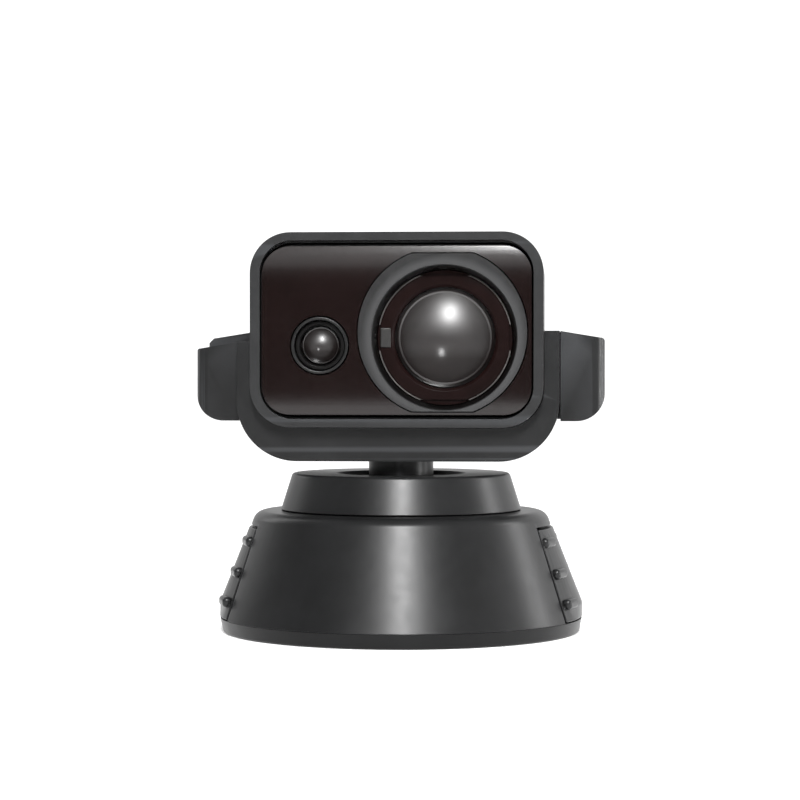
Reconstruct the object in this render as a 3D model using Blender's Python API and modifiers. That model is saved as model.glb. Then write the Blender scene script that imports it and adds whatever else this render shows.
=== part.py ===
"""Scanning lidar module: a round clip-on base with two squeeze latches, a geared pan stem on a
ball bearing, and a head. The head is a U-shaped cradle that holds the lidar case between two
side pods, with a rear housing behind. The case has a large receiver lens and a small emitter.

Frame: +Z up, the lenses look along -Y, the origin is the centre of the base's bottom face.
Sizes below are in millimetres, and MM turns them into Blender's metres.
"""

import math

import bmesh
import bpy
from mathutils import Matrix, Vector

MM = 0.001
GAP = 0.1  # between pieces that rest on or sit in each other
OVERLAP = 0.4  # how far a joined feature runs into the piece it grows from
HEAD_LIFT = 0.05  # under a screw's head
TURN_STEPS = 56

# Base ring and shell: turned about Z
BASE_BOTTOM_RADIUS = 21.97
BASE_RADIUS = 22.55
RING_TOP_Z = 1.8
RING_INNER_RADIUS = 19.6
RING_LIP_RADIUS = 20.75
RING_LIP_TOP_Z = 3.4
LIP_GAP_HALF_ANGLE = 25.0
SEAM = 0.15
RIM_TOP_Z = 3.66
CONE_TOP_RADIUS = 18.44
CONE_TOP_Z = 14.1
SHOULDER_EDGE_RADIUS, SHOULDER_EDGE_Z = 18.0, 14.56
SHOULDER_RADIUS = 16.98
SHOULDER_Z = 15.04
SHELL_WALL = 1.6
CEILING_Z = 13.45
SHELL_OPENING = 12.2
BOSS_OFFSET = 11.3
BOSS_RADIUS = 1.7
THREAD_HOLE_RADIUS = 0.65
BOSS_HOLE_TOP_Z = 11.5

# Floor plate inside the base; the host's boss comes up to its underside
FLOOR_RADIUS = 19.4
FLOOR_BOTTOM_Z = 5.4
FLOOR_TOP_Z = 6.6
FLOOR_SCREW_HOLE = 0.8
BASE_SCREW_HEAD, BASE_SCREW_LENGTH = 1.25, 4.6
NOTCH_NEAR_X, NOTCH_HALF = 15.4, 4.6
LUG_X = (16.1, 17.9)
LUG_Y = (4.75, 6.0)
LUG_RISE = 0.9
POST_X, POST_SPREAD_Y = 7.6, 6.1
POST_RADIUS, POST_TOP_Z = 0.8, 6.9
MOTOR_SOCKET_WALL, MOTOR_SOCKET_TOP_Z = 0.65, 7.8

# Base board, its dock connector and the slip ring
BOARD_WIDTH, BOARD_DEPTH = 18.4, 15.3
BOARD_CENTRE_Y = -4.65
BOARD_BOTTOM_Z = 7.0
BOARD_THICKNESS = 0.9
CHIP_RISE = 1.0
STATOR_RADIUS, STATOR_BORE, STATOR_TOP_Z = 5.0, 3.65, 9.4
ROTOR_RADIUS, ROTOR_BOTTOM_Z, ROTOR_TOP_Z = 3.45, 6.9, 11.0
CONNECTOR_WIDTH, CONNECTOR_DEPTH, CONNECTOR_Y = 9.3, 3.3, -9.5
CONNECTOR_BOTTOM_Z = 4.7
CONTACT_PITCH, CONTACT_COUNT, CONTACT_RADIUS = 2.2, 4, 0.4
CONTACT_Z = (4.5, 6.3)

# Collar on the shoulder, which carries the pan bearing
COLLAR_FOOT_RADIUS = 14.98
COLLAR_TOP_RADIUS = 13.66
COLLAR_EDGE_Z = 19.3
COLLAR_TOP_Z = 19.69
COLLAR_DISH_Z = 19.1
COLLAR_DISH_RADIUS = 7.6
STEM_CLEARANCE = 0.5
BEARING_RADIUS = 8.0
BALL_PITCH_RADIUS = 6.1
BALL_RADIUS = 0.7
BEARING_BOTTOM_Z = 15.3
BEARING_TOP_Z = 18.1

# Pan stem and drive
STEM_RADIUS = 4.04
STEM_BORE = 2.6
STEM_BOTTOM_Z = 10.0
FLANGE_RADIUS = 5.8
FLANGE_BOTTOM_Z = 23.7
FLANGE_TOP_Z = 24.6
FLANGE_BOLT_RADIUS = 4.9
FLANGE_SCREW_HEAD, FLANGE_SCREW_LENGTH = 0.72, 1.6
FLANGE_HOLE, FLANGE_THREAD = 0.4, 0.38
GEAR_MODULE = 0.4
WHEEL_TEETH = 40
PINION_TEETH = 10
GEAR_BOTTOM_Z = 11.2
GEAR_TOP_Z = 12.8
BACKLASH = 0.05
MOTOR_Y = GEAR_MODULE * (WHEEL_TEETH + PINION_TEETH) / 2
MOTOR_RADIUS = 3.6
MOTOR_TOP_Z = 10.3
SHAFT_RADIUS = 0.5
SHAFT_BOTTOM_Z = 8.8
STEM_FIT = 0.08

# Side latches: rockers on hinge pins, each with a column of grip bars near its front and rear edge
LATCH_HALF_ANGLE = 23.0
WINDOW_HALF_ANGLE = 24.2
LATCH_HINGE_X = 17.0
LATCH_HINGE_Z = 7.3
LATCH_BOTTOM_Z = 2.15
LATCH_TOP_Z = 13.0
LATCH_WALL = 1.5
LATCH_PROUD = 0.05
LATCH_TOP_CLEARANCE = 0.35
KNUCKLE_HALF = 4.3
KNUCKLE_RADIUS = 1.1
LATCH_WEB_HALF, LATCH_WEB_FAR_X = 0.7, 20.6
ARM_HALF_WIDTH, ARM_HALF = 3.4, 0.6
HOOK_Z = (1.5, 2.8)
HOOK_REACH = 1.6
PIN_RADIUS = 0.4
PIN_HALF = 5.9
BAR_COLUMNS = (-17.4, 17.4)
BAR_ROWS_Z = (4.05, 7.65, 11.4)
BAR_WIDTH = 3.5
BAR_HEIGHT = 1.3
BAR_PROUD = 0.65
BAR_DEPTH = 1.2
SPRING_FOOT_X, SPRING_TIP_X = 14.6, 17.3
SPRING_HEIGHTS = (6.9, 8.6, 11.2)
SPRING_HALF, SPRING_WIRE = 1.6, 0.2

# Head: the lidar case, its front bezel and the window panel
HEAD_CENTRE_Z = 37.4
BEZEL_WIDTH = 35.8
BEZEL_HEIGHT = 23.8
BEZEL_CORNER = 5.0
BEZEL_FRONT_Y = -8.5
CASE_INSET = 0.15
CASE_WALL = 1.1
CASE_FRONT_Y = -6.5
CASE_REAR_Y = 7.9
COVER_THICKNESS = 1.2
OPENING_WIDTH = 33.4
OPENING_HEIGHT = 21.74
OPENING_CORNER = 4.0
PANEL_WIDTH = 32.9
PANEL_HEIGHT = 20.55
PANEL_CENTRE_Z = 37.33
PANEL_CORNER = 3.4
PANEL_FRONT_Y = -8.2
PANEL_REAR_Y = -7.1
CASE_SCREW_X = 14.2
CASE_SCREW_RISE = 8.4
CASE_SCREW_LENGTH, CASE_THREAD = 5.2, 0.6
CASE_BOSS_RADIUS, CASE_BOSS_FRONT_Y = 1.6, 0.2
CASE_WEB_HALF, CASE_WEB_INSET = 0.8, 1.1
HARNESS_HOLE = 2.0
HEAD_SCREW_RADIUS = 1.1

# U-shaped cradle
CRADLE_HALF = 19.8
CRADLE_INNER_HALF = 17.95
CRADLE_BOTTOM_Z = 21.3
CRADLE_FLOOR_Z = 25.4
CRADLE_CORNER = 7.4
CRADLE_FRONT_Y = -6.5
CRADLE_REAR_Y = 7.9
LEFT_ARM_TOP_Z = 35.97
RIGHT_ARM_TOP_Z = 37.3

# Side pods and rear housing
POD_OUTER = 25.35
POD_BOTTOM_Z = 26.2
POD_FRONT_Y = -3.5
POD_CORNER = 3.5
POD_TOP_DROP = 0.8
POD_WALL = 1.3
HOUSING_FRONT_Y = 8.0
HOUSING_REAR_Y = 14.0
HOUSING_CORNER = 4.5
HOUSING_WALL = 1.3
HOUSING_SCREW_X = 22.6
HOUSING_SCREW_Z = 32.0
HOUSING_SEAT_Y = 12.0
HOUSING_SEAT_RADIUS = 1.4
HOUSING_SCREW_LENGTH = 7.4
HOUSING_CAVITY_HALF = 20.0
COVER_CLEARANCE_Y = 10.3

# Optics: receiver on the right of the face, emitter on the left
BARREL_X, BARREL_Z = 5.62, 37.07
BARREL_RADIUS = 10.3
BARREL_FLAT = 9.6
RECEIVER_X, RECEIVER_Z = 5.84, 36.45
RECEIVER_BORE = 8.33
RECEIVER_LENS = 6.1
LENS_EDGE, LENS_APEX, LENS_BACK = 5.5, 7.5, 4.2  # distances in front of the pan axis
RETAINER_FRONT, RETAINER_STEP, RETAINER_BACK = 6.6, 6.2, 5.3
SLOT_CIRCLE, SLOT_LONG, SLOT_SHORT = 7.6, 0.9, 0.7
FILTER_RADIUS, FILTER_FRONT, FILTER_BACK = 7.6, 3.9, 3.2
EMITTER_X, EMITTER_Z = -9.36, 35.5
EMITTER_RADIUS = 3.5
EMITTER_BORE = 3.1
EMITTER_LENS = 2.35
EMITTER_EDGE, EMITTER_APEX, EMITTER_BACK = 6.5, 7.9, 5.4
EMITTER_RETAINER = (6.3, 7.6)
BARREL_CLEARANCE = 0.15
DIODE_RADIUS, DIODE_FLANGE = 1.2, 1.9
DIODE_FRONT, DIODE_STEP, DIODE_BACK = 4.8, 2.9, 1.8

# Boards and cable in the head
SENSOR_BOARD_WIDTH, SENSOR_BOARD_HEIGHT = 29.0, 19.4
SENSOR_BOARD_Y = (-1.7, -0.7)
DETECTOR_HALF, DETECTOR_FRONT_Y = 2.0, -2.7
PROCESSOR_WIDTH, PROCESSOR_HEIGHT = 34.0, 6.6
PROCESSOR_Y = (11.4, 12.3)
PROCESSOR_CHIP_HALF, PROCESSOR_CHIP_FRONT_Y = 2.5, 10.5
CABLE_RADIUS = 0.9
CABLE_BEND = ((-0.2, 31.2), (0.9, 30.9), (1.5, 29.9), (1.2, 28.6), (0.5, 27.3))  # Y and Z
BARREL_FRONT_Y = -8.45
BARREL_REAR_Y = -2.5

COLOURS = {  # base colour, roughness, metallic
    "housing": ((0.045, 0.047, 0.05), 0.42, 0.0),
    "panel": ((0.012, 0.006, 0.006), 0.08, 0.0),
    "barrel": ((0.06, 0.062, 0.065), 0.35, 0.0),
    "black": ((0.012, 0.01, 0.01), 0.3, 0.0),
    "lens": ((0.05, 0.04, 0.04), 0.05, 0.0),
    "steel": ((0.55, 0.55, 0.56), 0.25, 1.0),
    "board": ((0.02, 0.11, 0.06), 0.5, 0.0),
    "nylon": ((0.75, 0.74, 0.7), 0.45, 0.0),
    "brass": ((0.7, 0.52, 0.22), 0.3, 1.0),
    "cable": ((0.03, 0.03, 0.03), 0.6, 0.0),
}

FACING_FRONT = (math.pi / 2, 0, 0)  # turns local +Z to -Y and local +Y to +Z


def clear_scene():
    for obj in list(bpy.data.objects):
        bpy.data.objects.remove(obj)


def new_collection(name):
    collection = bpy.data.collections.new(name)
    bpy.context.scene.collection.children.link(collection)
    return collection


def make_material(name, key):
    colour, roughness, metallic = COLOURS[key]
    material = bpy.data.materials.new(name)
    material.use_nodes = True
    shader = material.node_tree.nodes["Principled BSDF"]
    shader.inputs["Base Color"].default_value = (*colour, 1)
    shader.inputs["Roughness"].default_value = roughness
    shader.inputs["Metallic"].default_value = metallic
    return material


clear_scene()
PARTS = new_collection("lidar_scanner_module")
CUTTERS = new_collection("cutters")


def add_object(name, data, material, location=(0, 0, 0), rotation=(0, 0, 0)):
    """Links a mesh or curve as a named part with its own material. None makes it a cutter."""
    obj = bpy.data.objects.new(name, data)
    obj.location = Vector(location) * MM
    obj.rotation_euler = rotation
    if material is None:
        CUTTERS.objects.link(obj)
        obj.hide_render = True
        obj.display_type = "WIRE"
    else:
        PARTS.objects.link(obj)
        data.materials.append(make_material(name, material))
    return obj


def mesh_of(bm, name):
    mesh = bpy.data.meshes.new(name)
    bmesh.ops.recalc_face_normals(bm, faces=bm.faces)
    bm.to_mesh(mesh)
    bm.free()
    return mesh


def box(name, low, high, material=None):
    """A box between two corners, given in millimetres."""
    bm = bmesh.new()
    bmesh.ops.create_cube(bm, size=1)
    size = [(b - a) * MM for a, b in zip(low, high)]
    centre = [(a + b) / 2 * MM for a, b in zip(low, high)]
    place = Matrix.Translation(centre) @ Matrix.Diagonal((*size, 1))
    bmesh.ops.transform(bm, verts=bm.verts, matrix=place)
    return add_object(name, mesh_of(bm, name), material)


def side_box(name, side, low, high):
    """A box between corners given for the +X side, mirrored in X when side is -1."""
    xs = sorted((side * low[0], side * high[0]))
    return box(name, (xs[0], low[1], low[2]), (xs[1], high[1], high[2]))


def rod(name, start, end, radius, material=None, segments=20):
    """A solid cylinder from one point to another."""
    axis = (Vector(end) - Vector(start)) * MM
    bm = bmesh.new()
    bmesh.ops.create_cone(
        bm,
        cap_ends=True,
        segments=segments,
        radius1=radius * MM,
        radius2=radius * MM,
        depth=axis.length,
    )
    turn = axis.to_track_quat("Z", "Y").to_matrix().to_4x4()
    centre = (Vector(start) + Vector(end)) / 2 * MM
    bmesh.ops.transform(bm, verts=bm.verts, matrix=Matrix.Translation(centre) @ turn)
    return add_object(name, mesh_of(bm, name), material)


def turned(name, profile, material=None, location=(0, 0, 0), rotation=(0, 0, 0), steps=32):
    """A profile of (radius, height) points, running down its outer side, turned about Z.

    A profile that starts on the axis also ends on it; any other profile is closed.
    """
    bm = bmesh.new()
    points = [bm.verts.new((r * MM, 0, z * MM)) for r, z in profile]
    following = points[1:] if profile[0][0] == 0 else points[1:] + points[:1]
    for a, b in zip(points, following):
        bm.edges.new((a, b))
    mesh = bpy.data.meshes.new(name)
    bm.to_mesh(mesh)
    bm.free()
    obj = add_object(name, mesh, material, location, rotation)
    screw = obj.modifiers.new("Turn", "SCREW")
    screw.axis = "Z"
    screw.steps = screw.render_steps = steps
    screw.use_merge_vertices = True
    screw.merge_threshold = 0.00001
    return obj


def tube(outer, inner, low, high):
    """The profile of a plain ring, for turned()."""
    return [(outer, high), (outer, low), (inner, low), (inner, high)]


def arc(centre, radius, start, end, steps):
    """Points on an arc from one angle to another, in degrees."""
    angles = [math.radians(start + (end - start) * i / steps) for i in range(steps + 1)]
    return [(centre[0] + radius * math.cos(a), centre[1] + radius * math.sin(a)) for a in angles]


def rounded_rectangle(width, height, radius, centre=(0, 0), steps=6):
    """The outline of a rectangle with round corners, anticlockwise."""
    outline = []
    for quarter, (sx, sy) in enumerate(((1, 1), (-1, 1), (-1, -1), (1, -1))):
        x = centre[0] + sx * (width / 2 - radius)
        y = centre[1] + sy * (height / 2 - radius)
        outline += arc((x, y), radius, 90 * quarter, 90 * quarter + 90, steps)
    return outline


def circle(radius, centre=(0, 0), steps=32):
    return arc(centre, radius, 0, 360 * (steps - 1) / steps, steps - 1)


def flatted_circle(radius, flat, centre, steps=12):
    """A circle cut by two level flats, at that distance above and below its centre."""
    limit = math.degrees(math.asin(flat / radius))
    right = arc(centre, radius, -limit, limit, steps)
    return right + arc(centre, radius, 180 - limit, 180 + limit, steps)


def plate(name, outlines, low, high, material=None, facing_front=True):
    """A flat outline with any holes, made as a filled 2D curve and turned into a mesh.

    Facing the front, outlines are in X and Z, and low and high are along Y. Otherwise outlines
    are in X and Y, and low and high are along Z.
    """
    curve = bpy.data.curves.new(name, "CURVE")
    curve.dimensions = "2D"
    curve.fill_mode = "BOTH"
    curve.extrude = (high - low) / 2 * MM
    for outline in outlines:
        spline = curve.splines.new("POLY")
        spline.points.add(len(outline) - 1)
        for point, (x, y) in zip(spline.points, outline):
            point.co = (x * MM, y * MM, 0, 1)
        spline.use_cyclic_u = True
    middle = (low + high) / 2
    location = (0, middle, 0) if facing_front else (0, 0, middle)
    rotation = FACING_FRONT if facing_front else (0, 0, 0)
    source = add_object(name + "_outline", curve, None, location, rotation)
    bpy.context.view_layer.update()
    graph = bpy.context.evaluated_depsgraph_get()
    mesh = bpy.data.meshes.new_from_object(source.evaluated_get(graph))
    mesh.transform(source.matrix_world)
    bpy.data.objects.remove(source)
    mesh.materials.clear()
    bm = bmesh.new()
    bm.from_mesh(mesh)
    bmesh.ops.remove_doubles(bm, verts=bm.verts, dist=0.000001)
    bpy.data.meshes.remove(mesh)
    return add_object(name, mesh_of(bm, name), material)


def boolean(obj, operation, *others):
    """Adds one exact Boolean for each of the other objects."""
    for other in others:
        modifier = obj.modifiers.new(other.name, "BOOLEAN")
        modifier.operation = operation
        modifier.solver = "EXACT"
        modifier.object = other
    return obj


def cut(obj, *cutters):
    return boolean(obj, "DIFFERENCE", *cutters)


def join(obj, *pieces):
    return boolean(obj, "UNION", *pieces)


def sector(name, side, half_angle, low, high):
    """A wedge about the Z axis on the +X or -X side, from inside the base to outside it."""
    near, far = 13.5, 27.0
    outline = arc((0, 0), far, -half_angle, half_angle, 6)
    outline += arc((0, 0), near, half_angle, -half_angle, 6)
    return plate(name, [[(side * x, y) for x, y in outline]], low, high, facing_front=False)


def cone_radius(z):
    """Radius of the base's outer wall at a height on the rim or the cone."""
    slope = (BASE_RADIUS - CONE_TOP_RADIUS) / (CONE_TOP_Z - RIM_TOP_Z)
    return BASE_RADIUS - slope * max(0, z - RIM_TOP_Z)


def corners(offset):
    return [(sx * offset, sy * offset) for sx in (-1, 1) for sy in (-1, 1)]


def machine_screw(name, head_at, direction, head_radius, length):
    """A pan-head screw whose head stands on head_at and whose shank runs along direction."""
    head_height, shank, recess = 0.6 * head_radius, 0.42 * head_radius, 0.3 * head_radius
    profile = [
        (0, head_height - recess),
        (0.45 * head_radius, head_height - recess),
        (0.45 * head_radius, head_height),
        (0.8 * head_radius, head_height),
        (head_radius, 0.6 * head_height),
        (head_radius, 0),
        (shank, 0),
        (shank, -length),
        (0, -length - shank),
    ]
    screw = turned(name, profile, "steel", head_at, steps=14)
    screw.rotation_euler = (-Vector(direction)).to_track_quat("Z", "Y").to_euler()
    return screw


def make_bottom_ring():
    ring = turned(
        "bottom_ring",
        [
            (RING_LIP_RADIUS, RING_LIP_TOP_Z),
            (RING_LIP_RADIUS, RING_TOP_Z),
            (BASE_RADIUS, RING_TOP_Z),
            (BASE_BOTTOM_RADIUS, 0),
            (RING_INNER_RADIUS, 0),
            (RING_INNER_RADIUS, RING_LIP_TOP_Z),
        ],
        "housing",
        steps=TURN_STEPS,
    )
    for side in (-1, 1):
        top = RING_LIP_TOP_Z + 1
        cut(ring, sector(f"lip_gap_{side}", side, LIP_GAP_HALF_ANGLE, RING_TOP_Z, top))


def make_base_shell():
    shell = turned(
        "base_shell",
        [
            (SHELL_OPENING, SHOULDER_Z),
            (SHOULDER_RADIUS, SHOULDER_Z),
            (SHOULDER_EDGE_RADIUS, SHOULDER_EDGE_Z),
            (CONE_TOP_RADIUS, CONE_TOP_Z),
            (BASE_RADIUS, RING_TOP_Z + SEAM),
            (BASE_RADIUS - SHELL_WALL, RING_TOP_Z + SEAM),
            (BASE_RADIUS - SHELL_WALL, RIM_TOP_Z),
            (cone_radius(CEILING_Z) - SHELL_WALL, CEILING_Z),
            (SHELL_OPENING, CEILING_Z),
        ],
        "housing",
        steps=TURN_STEPS,
    )
    bottom = FLOOR_TOP_Z + GAP
    for number, (x, y) in enumerate(corners(BOSS_OFFSET)):
        top, hole_top = (x, y, CEILING_Z + OVERLAP), (x, y, BOSS_HOLE_TOP_Z)
        join(shell, rod(f"boss_{number}", (x, y, bottom), top, BOSS_RADIUS))
        hole = rod(f"boss_hole_{number}", (x, y, 0), hole_top, THREAD_HOLE_RADIUS, segments=12)
        cut(shell, hole)
    window_top = LATCH_TOP_Z + LATCH_TOP_CLEARANCE
    for side in (-1, 1):
        cut(shell, sector(f"latch_window_{side}", side, WINDOW_HALF_ANGLE, 1, window_top))


def make_collar():
    stem_hole = STEM_RADIUS + STEM_CLEARANCE
    seat = BEARING_RADIUS + GAP
    spigot, spigot_z = SHELL_OPENING - 2 * GAP, CEILING_Z + 0.3
    rim_z = COLLAR_TOP_Z - 0.04
    turned(
        "collar_cover",
        [
            (stem_hole, COLLAR_DISH_Z),
            (COLLAR_DISH_RADIUS, COLLAR_DISH_Z),
            (COLLAR_DISH_RADIUS + 0.6, rim_z),
            (COLLAR_TOP_RADIUS - 2.2, rim_z),
            (COLLAR_TOP_RADIUS - 0.62, COLLAR_TOP_Z),
            (COLLAR_TOP_RADIUS - 0.21, COLLAR_TOP_Z - 0.15),
            (COLLAR_TOP_RADIUS, COLLAR_EDGE_Z),
            (COLLAR_FOOT_RADIUS, SHOULDER_Z + GAP),
            (spigot, SHOULDER_Z + GAP),
            (spigot, spigot_z),
            (seat, spigot_z),
            (seat, BEARING_TOP_Z + GAP),
            (stem_hole, BEARING_TOP_Z + GAP),
        ],
        "housing",
        steps=TURN_STEPS,
    )


def make_floor_plate():
    screw_holes = [circle(FLOOR_SCREW_HOLE, corner, 12) for corner in corners(BOSS_OFFSET)]
    width, depth = CONNECTOR_WIDTH + 3 * GAP, CONNECTOR_DEPTH + 3 * GAP
    socket = rounded_rectangle(width, depth, 0.6, (0, CONNECTOR_Y), 3)
    outlines = [circle(FLOOR_RADIUS, steps=64), socket, *screw_holes]
    floor = plate("floor_plate", outlines, FLOOR_BOTTOM_Z, FLOOR_TOP_Z, "housing", False)
    for side in (-1, 1):
        low = (NOTCH_NEAR_X, -NOTCH_HALF, FLOOR_BOTTOM_Z - 1)
        high = (BASE_RADIUS, NOTCH_HALF, FLOOR_TOP_Z + 1)
        cut(floor, side_box(f"notch_{side}", side, low, high))
        for end in (-1, 1):
            lug_y = sorted(end * y for y in LUG_Y)
            low = (LUG_X[0], lug_y[0], FLOOR_TOP_Z - OVERLAP)
            high = (LUG_X[1], lug_y[1], LATCH_HINGE_Z + LUG_RISE)
            join(floor, side_box(f"lug_{side}_{end}", side, low, high))
            post = (side * POST_X, BOARD_CENTRE_Y + end * POST_SPREAD_Y)
            foot, tip = (*post, FLOOR_TOP_Z - OVERLAP), (*post, POST_TOP_Z)
            join(floor, rod(f"post_{side}_{end}", foot, tip, POST_RADIUS, segments=12))
        x, z = side * LATCH_HINGE_X, LATCH_HINGE_Z
        start, end = (x, -LUG_Y[1] - 1, z), (x, LUG_Y[1] + 1, z)
        cut(floor, rod(f"pin_hole_{side}", start, end, PIN_RADIUS + 0.06, segments=12))
    bore, low = MOTOR_RADIUS + GAP, FLOOR_TOP_Z - OVERLAP
    socket_profile = tube(bore + MOTOR_SOCKET_WALL, bore, low, MOTOR_SOCKET_TOP_Z)
    join(floor, turned("motor_socket", socket_profile, None, (0, MOTOR_Y, 0)))
    for number, (x, y) in enumerate(corners(BOSS_OFFSET)):
        head_at, name = (x, y, FLOOR_BOTTOM_Z - HEAD_LIFT), f"base_screw_{number + 1}"
        machine_screw(name, head_at, (0, 0, 1), BASE_SCREW_HEAD, BASE_SCREW_LENGTH)


def make_latch(side, label):
    """A rocker cut from the base's own wall shape, with grip bars, knuckle, arm and hook."""
    proud = LATCH_PROUD
    top, bottom = LATCH_TOP_Z + 1, LATCH_BOTTOM_Z - 1
    latch = turned(
        f"latch_{label}",
        [
            (cone_radius(top) + proud, top),
            (BASE_RADIUS + proud, RIM_TOP_Z),
            (BASE_RADIUS + proud, bottom),
            (BASE_RADIUS - LATCH_WALL, bottom),
            (BASE_RADIUS - LATCH_WALL, RIM_TOP_Z),
            (cone_radius(top) - LATCH_WALL, top),
        ],
        "housing",
        steps=TURN_STEPS,
    )
    field = sector(f"latch_field_{label}", side, LATCH_HALF_ANGLE, LATCH_BOTTOM_Z, LATCH_TOP_Z)
    boolean(latch, "INTERSECT", field)
    x, z, half = LATCH_HINGE_X, LATCH_HINGE_Z, KNUCKLE_HALF
    start, end = (side * x, -half, z), (side * x, half, z)
    join(latch, rod(f"knuckle_{label}", start, end, KNUCKLE_RADIUS))
    spans = (
        ("web", x, LATCH_WEB_FAR_X, half, (z - LATCH_WEB_HALF, z + LATCH_WEB_HALF)),
        ("arm", x - ARM_HALF, x + ARM_HALF, ARM_HALF_WIDTH, (HOOK_Z[0], z)),
        ("hook", x - HOOK_REACH, x + ARM_HALF / 2, ARM_HALF_WIDTH, HOOK_Z),
    )
    for name, near, far, half_width, heights in spans:
        low, high = (near, -half_width, heights[0]), (far, half_width, heights[1])
        join(latch, side_box(f"{name}_{label}", side, low, high))
    for row, bar_z in enumerate(BAR_ROWS_Z):
        reach = cone_radius(bar_z) + BAR_PROUD
        for column, angle in enumerate(BAR_COLUMNS):
            low = (reach - BAR_DEPTH, -BAR_WIDTH / 2, bar_z - BAR_HEIGHT / 2)
            high = (reach, BAR_WIDTH / 2, bar_z + BAR_HEIGHT / 2)
            bar = box(f"bar_{label}_{row}_{column}", low, high)
            bar.rotation_euler = (0, 0, math.radians(angle + (180 if side < 0 else 0)))
            join(latch, bar)
    start, end = (side * x, -half - 1, z), (side * x, half + 1, z)
    cut(latch, rod(f"knuckle_hole_{label}", start, end, PIN_RADIUS + GAP, segments=12))
    start, end = (side * x, -PIN_HALF, z), (side * x, PIN_HALF, z)
    rod(f"latch_pin_{label}", start, end, PIN_RADIUS, "steel", 12)
    make_latch_spring(side, label)


def make_latch_spring(side, label):
    """A wire spring from the floor plate out to the top of the latch's inner face."""
    foot_z, bend_z, tip_z = SPRING_HEIGHTS
    route = [(SPRING_FOOT_X, foot_z), (SPRING_FOOT_X, bend_z), (SPRING_TIP_X, tip_z)]
    places = [(side * x, -SPRING_HALF, z) for x, z in route]
    places += [(x, -y, z) for x, y, z in places[::-1]]
    wire(f"latch_spring_{label}", places, SPRING_WIRE, "steel")


def wire(name, route, radius, material):
    """A round wire or cable along a list of points."""
    curve = bpy.data.curves.new(name, "CURVE")
    curve.dimensions = "3D"
    curve.bevel_depth = radius * MM
    curve.bevel_resolution = 2
    curve.use_fill_caps = True
    spline = curve.splines.new("POLY")
    spline.points.add(len(route) - 1)
    for point, place in zip(spline.points, route):
        point.co = (*(Vector(place) * MM), 1)
    return add_object(name, curve, material)


def gear_outline(teeth, turn=0.0):
    """A spur gear's outline with straight-sided teeth, thinned for backlash."""
    pitch = GEAR_MODULE * teeth / 2
    tip, root = pitch + 0.85 * GEAR_MODULE, pitch - 1.15 * GEAR_MODULE
    half_tooth = math.pi / (2 * teeth) - BACKLASH / pitch
    widths = (
        (root, half_tooth + 0.42 * GEAR_MODULE / pitch),
        (pitch, half_tooth),
        (tip, half_tooth - 0.36 * GEAR_MODULE / pitch),
    )
    outline = []
    for tooth in range(teeth):
        middle = turn + 2 * math.pi * tooth / teeth
        sides = [(r, middle - w) for r, w in widths] + [(r, middle + w) for r, w in widths[::-1]]
        outline += [(r * math.cos(a), r * math.sin(a)) for r, a in sides]
    return outline


def make_drive():
    """Motor, pinion with its shaft, and wheel. The pinion meshes with the wheel at rest."""
    chamfer = 0.4
    turned(
        "pan_motor",
        [
            (0, SHAFT_BOTTOM_Z - 2 * GAP),
            (SHAFT_RADIUS + GAP, SHAFT_BOTTOM_Z - 2 * GAP),
            (SHAFT_RADIUS + GAP, MOTOR_TOP_Z),
            (MOTOR_RADIUS - chamfer, MOTOR_TOP_Z),
            (MOTOR_RADIUS, MOTOR_TOP_Z - chamfer),
            (MOTOR_RADIUS, FLOOR_TOP_Z + GAP),
            (0, FLOOR_TOP_Z + GAP),
        ],
        "steel",
        (0, MOTOR_Y, 0),
        steps=28,
    )
    wheel_turn = math.pi / 2 + math.pi / WHEEL_TEETH
    wheel = [gear_outline(WHEEL_TEETH, wheel_turn), circle(STEM_RADIUS + STEM_FIT)]
    plate("pan_wheel", wheel, GEAR_BOTTOM_Z, GEAR_TOP_Z, "nylon", False)
    teeth = [gear_outline(PINION_TEETH, -math.pi / 2)]
    pinion = plate("motor_pinion", teeth, GEAR_BOTTOM_Z, GEAR_TOP_Z, "brass", False)
    start, end = (0, 0, SHAFT_BOTTOM_Z), (0, 0, GEAR_TOP_Z - 2 * GAP)
    shaft = rod("motor_shaft", start, end, SHAFT_RADIUS, segments=16)
    join(pinion, shaft)
    pinion.location = shaft.location = (0, MOTOR_Y * MM, 0)


def make_bearing():
    low, high = BEARING_BOTTOM_Z, BEARING_TOP_Z
    inner, outer = BALL_PITCH_RADIUS - BALL_RADIUS, BALL_PITCH_RADIUS + BALL_RADIUS
    turned("bearing_outer_race", tube(BEARING_RADIUS, outer + GAP, low, high), "steel", steps=40)
    turned("bearing_inner_race", tube(inner - GAP, STEM_RADIUS + STEM_FIT, low, high), "steel", steps=40)
    section = circle(BALL_RADIUS, (BALL_PITCH_RADIUS, (low + high) / 2), 10)
    turned("bearing_ball_ring", section[::-1], "steel", steps=40)


def make_slip_ring():
    stator = tube(STATOR_RADIUS, STATOR_BORE, FLOOR_TOP_Z + GAP, STATOR_TOP_Z)
    turned("slip_ring_stator", stator, "black")
    plug = STEM_BORE - 0.15
    turned(
        "slip_ring_rotor",
        [
            (0, ROTOR_TOP_Z),
            (plug, ROTOR_TOP_Z),
            (plug, STEM_BOTTOM_Z - GAP),
            (ROTOR_RADIUS, STEM_BOTTOM_Z - GAP),
            (ROTOR_RADIUS, ROTOR_BOTTOM_Z),
            (0, ROTOR_BOTTOM_Z),
        ],
        "brass",
    )


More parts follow.
